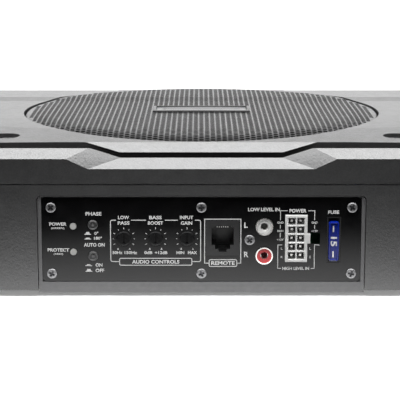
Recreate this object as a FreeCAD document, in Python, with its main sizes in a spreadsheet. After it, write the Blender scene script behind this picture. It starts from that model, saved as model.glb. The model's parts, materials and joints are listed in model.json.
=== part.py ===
"""Low under-seat powered subwoofer: a housing with an 8 inch driver, a grille, an amplifier and its panel.

Millimetres. The floor is Z = 0, +Z is up, the control panel faces -Y and the origin is at the middle.
"""
import FreeCAD, Part
import math
import os
import Sketcher
from FreeCAD import Placement, Rotation, Vector

doc = FreeCAD.newDocument("powered_subwoofer")
sheet = doc.addObject("Spreadsheet::Sheet", "Dims")
nodes = {}
sheet_rows = []


class Size:
    """A number of millimetres together with the sheet formula that it comes from."""

    def __init__(self, value, text):
        self.value = float(value)
        self.text = text

    def __add__(self, other):
        other = as_size(other)
        return Size(self.value + other.value, f"({self.text} + {other.text})")

    def __sub__(self, other):
        other = as_size(other)
        return Size(self.value - other.value, f"({self.text} - {other.text})")

    def __mul__(self, other):
        other = as_size(other)
        return Size(self.value * other.value, f"({self.text} * {other.text})")

    def __truediv__(self, other):
        other = as_size(other)
        return Size(self.value / other.value, f"({self.text} / {other.text})")

    def __neg__(self):
        return self * -1

    def __radd__(self, other):
        return as_size(other) + self

    def __rsub__(self, other):
        return as_size(other) - self

    def __rmul__(self, other):
        return as_size(other) * self


def as_size(number):
    """A plain number as a Size, and a Size as it is."""
    if isinstance(number, Size):
        return number
    return Size(number, f"{float(number):.6f}")


def dimension(alias, value, note):
    """Adds one driving dimension to the sheet."""
    sheet_rows.append(alias)
    row = len(sheet_rows)
    sheet.set(f"A{row}", note)
    sheet.set(f"B{row}", str(value))
    sheet.setAlias(f"B{row}", alias)
    return Size(value, f"Dims.{alias}")


# ---------------------------------------------------------------- driving dimensions
body_width = dimension("body_width", 340, "enclosure, left to right")
body_depth = dimension("body_depth", 212, "enclosure, front to back")
corner_round = dimension("corner_round", 16, "enclosure's upright corners")
wall = dimension("wall", 3, "moulded wall thickness")
mounting_x = dimension("mounting_x", 150, "underside mounting holes, to the side")
mounting_y = dimension("mounting_y", 56, "underside mounting holes, front to back")
mounting_radius = dimension("mounting_radius", 1.65, "underside mounting holes")
mounting_deep = dimension("mounting_deep", 11, "depth of the underside mounting holes")
foot_height = dimension("foot_height", 2, "rubber feet below the body")
shell_low = dimension("shell_low", 3.1, "underside of the base shell")
shell_high = dimension("shell_high", 54.5, "top of the base shell")
housing_low = dimension("housing_low", 55, "bottom of the upper housing")
deck_low = dimension("deck_low", 58.4, "underside of the woofer deck")
deck_high = dimension("deck_high", 61.4, "top of the woofer deck")
rim_high = dimension("rim_high", 71.6, "top of the chamfered rim at the sides")
rim_chamfer = dimension("rim_chamfer", 4.4, "45 degree chamfer of the rim")
seam_chamfer = dimension("seam_chamfer", 0.4, "chamfer of the upper housing at the seam")
rim_thick = dimension("rim_thick", 4.6, "thickness of the rim at its top")
dip_low = dimension("dip_low", 62.4, "start of the chamfer in the dipped middle")
dip_inner = dimension("dip_inner", 53.7, "half width of the dip at its bottom")
dip_outer = dimension("dip_outer", 64.3, "half width of the dip at its top")
cover_inset = dimension("cover_inset", 9.6, "cover edge behind the enclosure wall")
cover_low = dimension("cover_low", 61.7, "bottom of the cover's skirt")
cover_wall = dimension("cover_wall", 2.4, "cover thickness")
cover_round = dimension("cover_round", 8, "cover's upright corners")
edge_high = dimension("edge_high", 73.65, "cover's front edge")
crease_in = dimension("crease_in", 41.8, "front crease behind the front wall")
crease_high = dimension("crease_high", 74.7, "cover height at the front crease")
ridge_in = dimension("ridge_in", 76.9, "second crease behind the front wall")
valley_in = dimension("valley_in", 144.6, "third crease behind the front wall")
valley_high = dimension("valley_high", 74.0, "cover height at the third crease")
riser_in = dimension("riser_in", 156.7, "fourth crease behind the front wall")
riser_high = dimension("riser_high", 74.6, "cover height at the fourth crease")
tail_high = dimension("tail_high", 72.3, "cover's rear edge")
lip_low = dimension("lip_low", 69.5, "bottom of the cover's middle lips")
lip_inset = dimension("lip_inset", 5.4, "lip edge behind the enclosure wall")
opening_radius = dimension("opening_radius", 95.1, "grille opening")
pocket_x = dimension("pocket_x", 118, "screw pocket centre, to the side")
pocket_y = dimension("pocket_y", 80, "screw pocket centre, front to back")
pocket_length = dimension("pocket_length", 59, "screw pocket")
pocket_width = dimension("pocket_width", 12, "screw pocket")
pocket_floor = dimension("pocket_floor", 71.15, "height of the screw pockets' floor")
mesh_radius = dimension("mesh_radius", 94.6, "grille mesh")
mesh_thick = dimension("mesh_thick", 1.1, "grille mesh")
mesh_low = dimension("mesh_low", 68.6, "bottom of the mesh skirt")
bay_half = dimension("bay_half", 78.3, "control bay, half width")
bay_high = dimension("bay_high", 49.5, "control bay, top")
bay_round = dimension("bay_round", 2.4, "control bay's top corners")
chassis_gap = dimension("chassis_gap", 0.3, "gap between the bay and the chassis")
chassis_front = dimension("chassis_front", 0.8, "chassis face behind the front wall")
chassis_thick = dimension("chassis_thick", 4, "chassis face plate")
chassis_depth = dimension("chassis_depth", 68, "chassis floor, front to back")
panel_half = dimension("panel_half", 76, "control panel, half width")
panel_low = dimension("panel_low", 7.4, "control panel, bottom")
panel_high = dimension("panel_high", 48.5, "control panel, top")
panel_thick = dimension("panel_thick", 1.6, "control panel")
panel_in = dimension("panel_in", 1.2, "control panel face behind the front wall")
board_in = dimension("board_in", 17.6, "control board behind the front wall")
board_thick = dimension("board_thick", 1.6, "circuit boards")
pin_pitch = dimension("pin_pitch", 4.2, "power header pitch")
knob_radius = dimension("knob_radius", 3.6, "slotted control knob")
button_radius = dimension("button_radius", 2.35, "push button")
button_travel = dimension("button_travel", 1.5, "push button stroke")
cone_radius = dimension("cone_radius", 77, "outer edge of the cone")
cone_high = dimension("cone_high", 63.2, "top of the cone's rim")
frame_radius = dimension("frame_radius", 98.5, "woofer frame")
frame_high = dimension("frame_high", 63.6, "top of the woofer frame")
coil_radius = dimension("coil_radius", 19.5, "inside of the voice coil former")

doc.recompute()

front = -body_depth / 2
ALONG_Y = Rotation(Vector(1, 0, 0), -90)
UPRIGHT = Rotation()


# ---------------------------------------------------------------- drawing helpers
def bind(item, **values):
    """Sets properties from numbers or sheet formulas. Two underscores stand for a dot."""
    for path, value in values.items():
        size = as_size(value)
        item.setExpression(path.replace("__", "."), size.text)


def place(item, x, y, z, rotation=UPRIGHT):
    """Places an object, with its position bound to the sheet."""
    item.Placement = Placement(Vector(as_size(x).value, as_size(y).value, as_size(z).value), rotation)
    bind(item, Placement__Base__x=x, Placement__Base__y=y, Placement__Base__z=z)
    return item


def box(name, x, y, z, length, width, height):
    """A box from its lowest corner."""
    item = doc.addObject("Part::Box", name)
    bind(item, Length=length, Width=width, Height=height)
    return place(item, x, y, z)


def slab(name, half, y, z, width, height):
    """A box centred on X = 0."""
    return box(name, -as_size(half), y, z, as_size(half) * 2, width, height)


def cylinder(name, x, y, z, radius, height, rotation=UPRIGHT):
    """A cylinder from the middle of its first end."""
    item = doc.addObject("Part::Cylinder", name)
    bind(item, Radius=radius, Height=height)
    return place(item, x, y, z, rotation)


def peg(name, x, y, z, radius, length):
    """A cylinder that runs along +Y from y."""
    return cylinder(name, x, y, z, radius, length, ALONG_Y)


def ring(name, x, y, z, outer, inner, height, rotation=UPRIGHT):
    """A tube from the middle of its first end."""
    outside = cylinder(name + "_outside", x, y, z, outer, height, rotation)
    inside = cylinder(name + "_inside", x, y, z, inner, height, rotation)
    return cut(name, outside, inside)


def join(name, *items):
    """Several solids as one."""
    item = doc.addObject("Part::MultiFuse", name)
    item.Shapes = list(items)
    return item


def group(name, *items):
    """Separate solids that share one sub-part."""
    item = doc.addObject("Part::Compound", name)
    item.Links = list(items)
    return item


def cut(name, base, *tools):
    """A solid with one or more others taken away."""
    tool = tools[0]
    if len(tools) > 1:
        tool = group(name + "_tools", *tools)
    item = doc.addObject("Part::Cut", name)
    item.Base = base
    item.Tool = tool
    return item


def common(name, *items):
    """The space that all of several solids share."""
    item = doc.addObject("Part::MultiCommon", name)
    item.Shapes = list(items)
    return item


def keep(name, item):
    """Names a finished sub-part."""
    item.Label = name
    nodes[name] = item
    return item


def new_body(name):
    """An empty PartDesign body."""
    return doc.addObject("PartDesign::Body", name)


def sketch_on(body, name, role, height=0.0):
    """A sketch on one of the body's own planes, moved along the plane's normal."""
    sketch = body.newObject("Sketcher::SketchObject", name)
    plane = next(item for item in body.Origin.OriginFeatures if item.Role == role)
    sketch.AttachmentSupport = [(plane, "")]
    sketch.MapMode = "FlatFace"
    bind(sketch, AttachmentOffset__Base__z=height)
    return sketch


def outline(sketch, points):
    """A closed outline whose every corner is bound to the sheet."""
    corners = [(as_size(u), as_size(v)) for u, v in points]
    flat = [Vector(u.value, v.value, 0) for u, v in corners]
    count = len(flat)
    start = sketch.GeometryCount
    for index in range(count):
        line = Part.LineSegment(flat[index], flat[(index + 1) % count])
        sketch.addGeometry(line, False)
    for index, (u, v) in enumerate(corners):
        line = start + index
        nearby = start + (index - 1) % count
        sketch.addConstraint(Sketcher.Constraint("Coincident", nearby, 2, line, 1))
        for kind, size in (("DistanceX", u), ("DistanceY", v)):
            lock(sketch, Sketcher.Constraint(kind, -1, 1, line, 1, size.value), size)


def lock(sketch, constraint, size):
    """Adds a measured constraint, and binds it when its size comes from the sheet."""
    number = sketch.addConstraint(constraint)
    if "Dims." in size.text:
        sketch.setExpression(f"Constraints[{number}]", size.text)


def circle(sketch, x, y, radius):
    """A circle bound to the sheet."""
    x, y, radius = as_size(x), as_size(y), as_size(radius)
    centre = Vector(x.value, y.value, 0)
    number = sketch.addGeometry(Part.Circle(centre, Vector(0, 0, 1), radius.value), False)
    lock(sketch, Sketcher.Constraint("Radius", number, radius.value), radius)
    lock(sketch, Sketcher.Constraint("DistanceX", -1, 1, number, 3, x.value), x)
    lock(sketch, Sketcher.Constraint("DistanceY", -1, 1, number, 3, y.value), y)


def rectangle(sketch, left, low, right, high):
    """A rectangle from two corners."""
    outline(sketch, [(left, low), (right, low), (right, high), (left, high)])


def pad(body, sketch, name, length, both=False):
    """Extrudes a sketch along its normal."""
    item = body.newObject("PartDesign::Pad", name)
    item.Profile = sketch
    bind(item, Length=length)
    item.Midplane = both
    sketch.Visibility = False
    doc.recompute()
    return item


def pocket(body, sketch, name, length, reverse=False):
    """Cuts a sketch out of the body, and checks that it removed something."""
    before = body.Shape.Volume
    item = body.newObject("PartDesign::Pocket", name)
    item.Profile = sketch
    bind(item, Length=length)
    item.Reversed = reverse
    doc.recompute()
    if body.Shape.Volume > before - 0.01:
        raise RuntimeError(f"{body.Name}: {name} cuts nothing")
    return item


def turned(name, points):
    """A body turned about Z from an outline of (radius, height) points."""
    body = new_body(name)
    sketch = sketch_on(body, name + "_profile", "XZ_Plane")
    outline(sketch, points)
    item = body.newObject("PartDesign::Revolution", name + "_turn")
    item.Profile = sketch
    item.ReferenceAxis = (sketch, ["V_Axis"])
    item.Angle = 360
    doc.recompute()
    return body


def upright_edges(shape):
    """Names of a shape's vertical straight edges."""
    found = []
    for number, edge in enumerate(shape.Edges, 1):
        ends = [vertex.Point for vertex in edge.Vertexes]
        if len(ends) == 2 and (ends[0] - ends[1]).Length > 0.1:
            if abs(ends[0].x - ends[1].x) + abs(ends[0].y - ends[1].y) < 0.001:
                found.append(f"Edge{number}")
    return found


def round_corners(body, name, radius):
    """Rounds every upright edge of the body."""
    support = body.Tip
    edges = upright_edges(support.Shape)
    item = body.newObject("PartDesign::Fillet", name)
    item.Base = (support, edges)
    bind(item, Radius=radius)
    body.Tip = item
    doc.recompute()
    return item


def rounded_block(name, inset, low, high, radius):
    """A block inside the enclosure's outline with rounded upright corners."""
    body = new_body(name)
    sketch = sketch_on(body, name + "_outline", "XY_Plane", low)
    half_x = body_width / 2 - inset
    half_y = body_depth / 2 - inset
    rectangle(sketch, -half_x, -half_y, half_x, half_y)
    pad(body, sketch, name + "_pad", as_size(high) - low)
    round_corners(body, name + "_corners", radius)
    return body


def along_x(name, points, half):
    """A prism along X from an outline of (distance behind the front wall, height) points."""
    body = new_body(name)
    sketch = sketch_on(body, name + "_outline", "YZ_Plane")
    outline(sketch, [(front + inward, height) for inward, height in points])
    pad(body, sketch, name + "_pad", as_size(half) * 2, both=True)
    return body


def mirrored_points():
    """The four signs of a pattern that repeats at the four corners."""
    return [(side, end) for end in (-1, 1) for side in (-1, 1)]


def screw(name, x, y, z, head, head_height, shank, length, slot, rotation=UPRIGHT):
    """A cross-head screw: z is the underside of its head, and the shank runs the other way."""
    along = rotation.multVec(Vector(0, 0, 1))

    def at(distance):
        return [as_size(value) + along[axis] * distance for axis, value in enumerate((x, y, z))]

    head_part = cylinder(name + "_head", *at(0), head, head_height, rotation)
    shank_part = cylinder(name + "_shank", *at(-length), shank, length, rotation)
    whole = join(name + "_whole", head_part, shank_part)
    arms = []
    for turn in (0, 90):
        arm = doc.addObject("Part::Box", f"{name}_slot_{turn}")
        bind(arm, Length=slot * 2, Width=slot * 0.36, Height=head_height)
        spin = rotation.multiply(Rotation(Vector(0, 0, 1), turn))
        start = Vector(*[value.value for value in at(head_height * 0.45)])
        arm.Placement = Placement(start + spin.multVec(Vector(-slot, -slot * 0.18, 0)), spin)
        arms.append(arm)
    return cut(name, whole, *arms)


def wire_run(points, radius, bend):
    """A round wire along straight runs joined by tangent arcs."""
    points = [Vector(*point) for point in points]
    edges = []
    last = points[0]
    for before, corner, after in zip(points, points[1:], points[2:]):
        into = (corner - before).normalize()
        out = (after - corner).normalize()
        turn = into.getAngle(out)
        reach = bend * math.tan(turn / 2)
        begin = corner - into * reach
        end = corner + out * reach
        middle = corner + (out - into).normalize() * (bend / math.cos(turn / 2) - bend)
        edges.append(Part.LineSegment(last, begin).toShape())
        edges.append(Part.Arc(begin, middle, end).toShape())
        last = end
    edges.append(Part.LineSegment(last, points[-1]).toShape())
    path = Part.Wire(edges)
    start = (points[1] - points[0]).normalize()
    section = Part.Wire([Part.Circle(points[0], start, radius).toShape()])
    return path.makePipeShell([section], True, True)


# ---------------------------------------------------------------- enclosure
def base_shell():
    """The lower half: a tray with the control bay open at its front, and screw posts."""
    body = rounded_block("base_shell_body", 0, shell_low, shell_high, corner_round)
    inside = rounded_block("base_inside", wall, shell_low + wall, shell_high + 5, corner_round - wall)
    floor = sketch_on(body, "base_shell_floor", "XY_Plane", shell_low + wall + 1)
    rectangle(floor, -bay_half, front - 1, bay_half, front + chassis_depth + 1)
    pocket(body, floor, "base_shell_floor_cut", wall + 2)
    posts = []
    holes = []
    for x, y in housing_screw_places():
        posts.append(cylinder("base_post", x, y, shell_low + 1, 4.5, shell_high - shell_low - 1))
        holes.append(cylinder("base_post_hole", x, y, shell_high - 14, 1.7, 15))
    for x, y in mounting_places():
        posts.append(cylinder("mounting_boss", x, y, shell_low + 1, 4.5, mounting_deep + 1))
        holes.append(cylinder("mounting_hole", x, y, shell_low - 1, mounting_radius, mounting_deep + 1))
    for x, y in foot_places():
        holes.append(cylinder("foot_hole", x, y, shell_low - 1, 2.1, wall + 2))
    tray = cut("base_tray", body, inside)
    keep("base_shell", cut("base_shell", join("base_shell_posts", tray, *posts), bay_space(), *holes))


def bay_space():
    """The opening of the control bay in the front wall, rounded at its top corners."""
    start = front - 1
    depth = wall + 2
    rise = bay_high - shell_low + 1
    wide = slab("bay_wide", bay_half, start, shell_low - 1, depth, rise - bay_round)
    tall = slab("bay_tall", bay_half - bay_round, start, shell_low - 1, depth, rise)
    x = bay_half - bay_round
    corners = [peg("bay_corner", x * side, start, bay_high - bay_round, bay_round, depth) for side in (-1, 1)]
    return join("bay_space", wide, tall, *corners)


def mounting_places():
    """Four blind holes in the underside for the screws of a bracket."""
    return [(mounting_x * side, mounting_y * end) for side, end in mirrored_points()]


def housing_screw_places():
    """Six screws between the two halves of the enclosure."""
    x = body_width / 2 - 18
    y = body_depth / 2 - 18
    corners = [(x * side, y * end) for side, end in mirrored_points()]
    return corners + [(x * side, as_size(0)) for side in (-1, 1)]


def foot_places():
    """Four rubber feet near the corners."""
    return [((body_width / 2 - 34) * side, (body_depth / 2 - 26) * end) for side, end in mirrored_points()]


def housing_dip(name, end):
    """The space above the lowered middle of the rim, at the front (-1) or the rear (1)."""
    wires = []
    for inward in (-0.5, 8.0):
        low = dip_low + inward
        half_low = dip_inner - inward * 3.33
        slope = (dip_outer - dip_inner - (2.09 - 3.33) * inward) / (rim_high - rim_chamfer - dip_low)
        top = rim_high + 12
        half_top = half_low + slope * (top - low)
        corners = [(-half_low, low), (half_low, low), (half_top, top), (-half_top, top)]
        y = (body_depth / 2 - inward) * end
        points = [Vector(x.value, y.value, z.value) for x, z in corners]
        wires.append(Part.makePolygon(points + points[:1]))
    solid = Part.makeLoft(wires, True, True)
    if solid.Volume < 0:
        solid.reverse()
    item = doc.addObject("Part::Feature", name)
    item.Shape = solid
    return item


def chamfer_rim(body, name, height, size):
    """Chamfers the edges of the flat face at one height."""
    face = next(
        f"Face{number}"
        for number, item in enumerate(body.Shape.Faces, 1)
        if abs(item.CenterOfMass.z - height.value) < 0.001
    )
    support = body.Tip
    chamfer = body.newObject("PartDesign::Chamfer", name)
    chamfer.Base = (support, [face])
    bind(chamfer, Size=size)
    body.Tip = chamfer
    doc.recompute()


def upper_housing():
    """The upper half: a chamfered rim round a sunk deck that carries the woofer."""
    body = rounded_block("upper_housing_body", 0, housing_low, rim_high, corner_round)
    chamfer_rim(body, "rim_chamfer_cut", rim_high, rim_chamfer)
    chamfer_rim(body, "seam_chamfer_cut", housing_low, seam_chamfer)
    above = rounded_block("housing_above", rim_thick, deck_high, rim_high + 5, corner_round - rim_thick)
    below = rounded_block("housing_below", wall, housing_low - 5, deck_low, corner_round - wall)
    hole = cylinder("deck_hole", 0, 0, deck_low - 1, frame_radius - 8, 6)
    bosses = []
    holes = []
    for x, y in housing_screw_places():
        bosses.append(cylinder("housing_boss", x, y, housing_low, 4.5, deck_low - housing_low + 1))
        holes.append(cylinder("housing_hole", x, y, housing_low - 1, 2.2, 12))
    for x, y in cover_screw_places(-1) + cover_screw_places(1):
        bosses.append(cylinder("cover_boss", x, y, deck_low - 6, 4, 7))
        holes.append(cylinder("cover_boss_hole", x, y, deck_low - 7, 1.5, 12))
    for x, y in woofer_screw_places():
        holes.append(cylinder("woofer_hole", x, y, deck_low - 1, 1.6, 6))
    hollow = cut("housing_hollow", body, above, below, hole)
    whole = join("housing_bosses", hollow, *bosses)
    dips = [housing_dip("dip_front", -1), housing_dip("dip_rear", 1)]
    keep("upper_housing", cut("upper_housing", whole, *holes, *dips))


def housing_gasket():
    """The thin seal between the two halves."""
    gap = housing_low - shell_high
    outer = rounded_block("gasket_outer", 0.8, shell_high, housing_low, corner_round - 0.8)
    inner = rounded_block("gasket_inner", wall - 0.3, shell_high - 1, shell_high + gap + 1, corner_round - wall)
    keep("housing_gasket", cut("housing_gasket", outer, inner))


def housing_screws():
    """Six screws that hold the upper housing to the base posts."""
    screws = [
        screw(f"housing_screw_{number}", x, y, deck_high, 3.4, 2, 1.7, 18, 2)
        for number, (x, y) in enumerate(housing_screw_places())
    ]
    keep("housing_screws", group("housing_screws", *screws))


def rubber_feet():
    """Four feet, each with a stem pressed into the base."""
    feet = []
    for x, y in foot_places():
        foot_pad = cylinder("foot_pad", x, y, 0, 8, shell_low)
        stem = cylinder("foot_stem", x, y, shell_low, 2.1, wall + 1)
        feet.append(join("foot", foot_pad, stem))
    keep("rubber_feet", group("rubber_feet", *feet))


# ---------------------------------------------------------------- cover and grille
def top_profile(drop, tail, tail_in):
    """The faceted top line of the cover or the mesh, lowered by drop, from front to rear."""
    slope = (crease_high - edge_high) / (crease_in - cover_inset)
    start = edge_high - slope * (cover_inset - 5)
    fall = (riser_high - tail) / (body_depth - tail_in - riser_in)
    end = tail - fall * (tail_in - 5)
    line = [
        (5, start),
        (crease_in, crease_high),
        (ridge_in, crease_high),
        (valley_in, valley_high),
        (riser_in, riser_high),
        (body_depth - 5, end),
    ]
    return [(as_size(inward), height - drop) for inward, height in line]


def under_profile(name, drop, tail, tail_in):
    """Everything from the floor of the cover up to the faceted line."""
    line = top_profile(drop, tail, tail_in)
    low = cover_low - 6
    return along_x(name, [(5, low), *line, (body_depth - 5, low)], body_width / 2)


def cover_lip(name, end):
    """The middle of the cover's edge, which reaches down into the dip with a 45 degree face."""
    high = edge_high if end < 0 else tail_high
    rise = high - lip_low
    edge = front + lip_inset
    body = new_body(name + "_wedge")
    sketch = sketch_on(body, name + "_wedge_outline", "YZ_Plane")
    corners = [(edge, lip_low), (edge + rise, high), (edge + 9, high), (edge + 9, lip_low)]
    outline(sketch, [(y * -end, z) for y, z in corners])
    pad(body, sketch, name + "_wedge_pad", 140, both=True)
    shape = new_body(name + "_plan")
    plan = sketch_on(shape, name + "_plan_outline", "XZ_Plane")
    narrow = dip_inner - 15
    wide = dip_inner + 1.5
    slant = (wide - narrow) / (edge_high - lip_low)
    far = narrow + slant * 10
    outline(plan, [(-narrow, lip_low), (narrow, lip_low), (far, lip_low + 10), (-far, lip_low + 10)])
    pad(shape, plan, name + "_plan_pad", body_depth + 20, both=True)
    return common(name, body, shape)


def corner_facet(name, side):
    """Cuts the front corner of the cover so that the front crease runs back towards the side."""
    rise = (crease_high.value - edge_high.value) / (crease_in.value - cover_inset.value)
    recede = 0.25
    normal = Vector(rise * recede * side, -rise, 1)
    item = doc.addObject("Part::Box", name)
    bind(item, Length=260, Width=200, Height=12)
    item.Placement.Rotation = Rotation(Vector(0, 0, 1), normal)
    corner = item.Placement.Rotation.multVec(Vector(-130, -100, 0))
    start = Vector(69.6 * side, (front + crease_in).value, crease_high.value) + corner
    item.Placement.Base = start
    return item


def screw_pocket(name, x, y, length, width, low, height):
    """A long space with round ends, along X."""
    reach = (as_size(length) - width) / 2
    ends = [cylinder(name + "_end", x + reach * side, y, low, as_size(width) / 2, height) for side in (-1, 1)]
    middle = box(name + "_middle", x - reach, y - as_size(width) / 2, low, reach * 2, width, height)
    return join(name, middle, *ends)


def cover_screw_places(end):
    """Four screws along the front (-1) or the rear (1) of the cover."""
    shift = (pocket_length - pocket_width) / 2
    return [(pocket_x * side + shift * step, pocket_y * end) for side in (-1, 1) for step in (-1, 1)]


def ring_screw_places():
    """Four screws of the grille ring, on the diagonals."""
    reach = (opening_radius + 6.4) * math.sqrt(0.5)
    return [(reach * side, reach * end) for side, end in mirrored_points()]


def top_cover():
    """The faceted cover with its round opening, two long screw pockets, skirt and middle lips."""
    block = rounded_block("cover_block", cover_inset, cover_low, crease_high + 5, cover_round)
    plate = common("cover_plate", block, under_profile("cover_top", 0, tail_high, cover_inset))
    inner = rounded_block("cover_inner", cover_inset + cover_wall, cover_low - 1, crease_high + 5, cover_round - cover_wall)
    hollow = common("cover_hollow", inner, under_profile("cover_under", cover_wall, tail_high, cover_inset))
    towers = []
    recesses = []
    tower_low = deck_high + 0.3
    tower_high = pocket_floor + 1
    for side, end in mirrored_points():
        x = pocket_x * side
        y = pocket_y * end
        size = (pocket_length + 3, pocket_width + 3, tower_low, tower_high - tower_low)
        towers.append(screw_pocket("tower", x, y, *size))
        if end < 0:
            recesses.append(screw_pocket("recess", x, y, pocket_length, pocket_width, pocket_floor, 8))
    for end, hole_height in ((-1, 14), (1, 11)):
        for x, y in cover_screw_places(end):
            recesses.append(cylinder("cover_screw_hole", x, y, cover_low - 2, 1.7, hole_height))
    posts = []
    for x, y in ring_screw_places():
        posts.append(cylinder("ring_post", x, y, mesh_low + 0.1, 3, 4.3))
        recesses.append(cylinder("ring_post_hole", x, y, mesh_low - 1, 1, 4.5))
    lips = [cover_lip("lip_front", -1), cover_lip("lip_rear", 1)]
    solid = join("cover_solid", cut("cover_shell", plate, hollow), *towers, *posts, *lips)
    opening = cylinder("cover_opening", 0, 0, cover_low - 5, opening_radius, 30)
    clearance = cylinder("cover_clearance", 0, 0, cover_low - 5, frame_radius + 1, frame_high - cover_low + 7.5)
    facets = [corner_facet("facet_left", -1), corner_facet("facet_right", 1)]
    keep("top_cover", cut("top_cover", solid, opening, clearance, *recesses, *facets))


def cover_screws():
    """Four screws through the front pockets, and four from under the deck into the rear of the cover."""
    screws = []
    for x, y in cover_screw_places(-1):
        screws.append(screw("cover_screw_front", x, y, pocket_floor, 2.8, 1.6, 1.5, 15, 1.7))
    over = Rotation(Vector(1, 0, 0), 180)
    for x, y in cover_screw_places(1):
        screws.append(screw("cover_screw_rear", x, y, deck_low - 6, 2.8, 1.6, 1.5, 15, 1.7, over))
    keep("cover_screws", group("cover_screws", *screws))


def grille_mesh():
    """The faceted grille sheet with a straight skirt."""
    outer = cylinder("mesh_outer", 0, 0, mesh_low, mesh_radius, 12)
    inner = cylinder("mesh_inner", 0, 0, mesh_low - 1, mesh_radius - mesh_thick, 14)
    outside = common("mesh_outside", outer, under_profile("mesh_top", 0, tail_high + 1.2, cover_inset))
    inside = common("mesh_inside", inner, under_profile("mesh_under", mesh_thick, tail_high + 1.2, cover_inset))
    keep("grille_mesh", cut("grille_mesh", outside, inside))


def grille_ring():
    """The ring under the mesh skirt, with four ears screwed to the cover."""
    low = mesh_low - 2
    hoop = cylinder("hoop", 0, 0, low, mesh_radius, 2)
    ears = []
    for number, (x, y) in enumerate(ring_screw_places()):
        ears.append(cylinder("ear", x, y, low, 4.2, 2))
        ears.append(cylinder("ear_root", x * 0.94, y * 0.94, low, 4.2, 2))
    hole = cylinder("hoop_hole", 0, 0, low - 1, mesh_radius - 3.4, 4)
    holes = [cylinder("ear_hole", x, y, low - 1, 1.3, 4) for x, y in ring_screw_places()]
    keep("grille_ring", cut("grille_ring", join("hoop_and_ears", hoop, *ears), hole, *holes))
    over = Rotation(Vector(1, 0, 0), 180)
    screws = [
        screw(f"grille_ring_screw_{number}", x, y, low, 2.2, 1.2, 1, 5, 1.4, over)
        for number, (x, y) in enumerate(ring_screw_places())
    ]
    keep("grille_ring_screws", group("grille_ring_screws", *screws))


def grille_badge():
    """A plain badge plate on the mesh, with two legs that grip it."""
    top = crease_high - 0.2
    plate = slab("badge_plate", 26, -6, top, 18, 1)
    rim = slab("badge_rim", 24.8, -4.8, top + 0.7, 15.6, 1)
    keep("grille_badge", cut("grille_badge", plate, rim))


# ---------------------------------------------------------------- woofer
def woofer_screw_places():
    """Eight screws round the woofer frame."""
    reach = frame_radius - 3
    angles = [math.radians(22.5 + 45 * number) for number in range(8)]
    return [(reach * math.cos(angle), reach * math.sin(angle)) for angle in angles]


def woofer_basket():
    """The pressed steel frame with six windows and a landing for the spider."""
    rim = frame_high - 1.2
    points = [
        (frame_radius, rim),
        (frame_radius - 8.8, rim),
        (frame_radius - 10.2, rim - 8.5),
        (58, 32.5),
        (49.5, 32.5),
        (49.5, 26.6),
        (24, 26.6),
        (24, 28.1),
        (48, 28.1),
        (48, 34),
        (57.4, 34),
        (frame_radius - 11.7, rim - 7.3),
        (frame_radius - 10.3, frame_high),
        (frame_radius, frame_high),
    ]
    body = turned("basket_body", points)
    windows = []
    for number in range(6):
        window = doc.addObject("Part::Box", "basket_window")
        bind(window, Length=22, Width=44, Height=30)
        spin = Rotation(Vector(0, 0, 1), 60 * number)
        window.Placement = Placement(spin.multVec(Vector(61, -22, 33)), spin)
        windows.append(window)
    holes = [cylinder("basket_hole", x, y, rim - 1, 1.8, 4) for x, y in woofer_screw_places()]
    passages = [peg("lead_passage", 5 * side, 60, 44.4, 1.6, 26) for side in (-1, 1)]
    keep("woofer_basket", cut("woofer_basket", body, *windows, *holes, *passages))


def woofer_fixings():
    """The seal under the woofer frame and the screws through it."""
    thick = frame_high - 1.2 - deck_high
    seal = ring("gasket_ring", 0, 0, deck_high, frame_radius - 0.4, frame_radius - 7.6, thick)
    holes = [cylinder("gasket_hole", x, y, deck_high - 1, 1.9, 4) for x, y in woofer_screw_places()]
    keep("woofer_gasket", cut("woofer_gasket", seal, *holes))
    screws = [
        screw(f"woofer_screw_{number}", x, y, frame_high, 2.8, 1.4, 1.5, 9, 1.8)
        for number, (x, y) in enumerate(woofer_screw_places())
    ]
    keep("woofer_screws", group("woofer_screws", *screws))


def surround():
    """The rubber half roll between the frame and the cone."""
    inner = cone_radius - 0.5
    outer = frame_radius - 10.4
    middle = (inner + outer) / 2
    roll = (outer - inner) / 2
    low = frame_high
    thick = 0.8
    steps = 12
    upper = []
    lower = []
    for step in range(steps + 1):
        angle = math.pi * step / steps
        upper.append((middle + roll * math.cos(angle), low + thick + roll * math.sin(angle)))
        inner_roll = roll - thick
        lower.append((middle + inner_roll * math.cos(angle), low + thick + inner_roll * math.sin(angle)))
    land_outer = [(frame_radius - 6.4, low), (frame_radius - 6.4, low + thick)]
    land_inner = [(cone_radius - 4.5, low + thick), (cone_radius - 4.5, low)]
    points = land_outer + upper + land_inner
    points += [(middle - roll + thick, low)] + lower[::-1][1:-1] + [(middle + roll - thick, low)]
    keep("surround", turned("surround", points))


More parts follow.
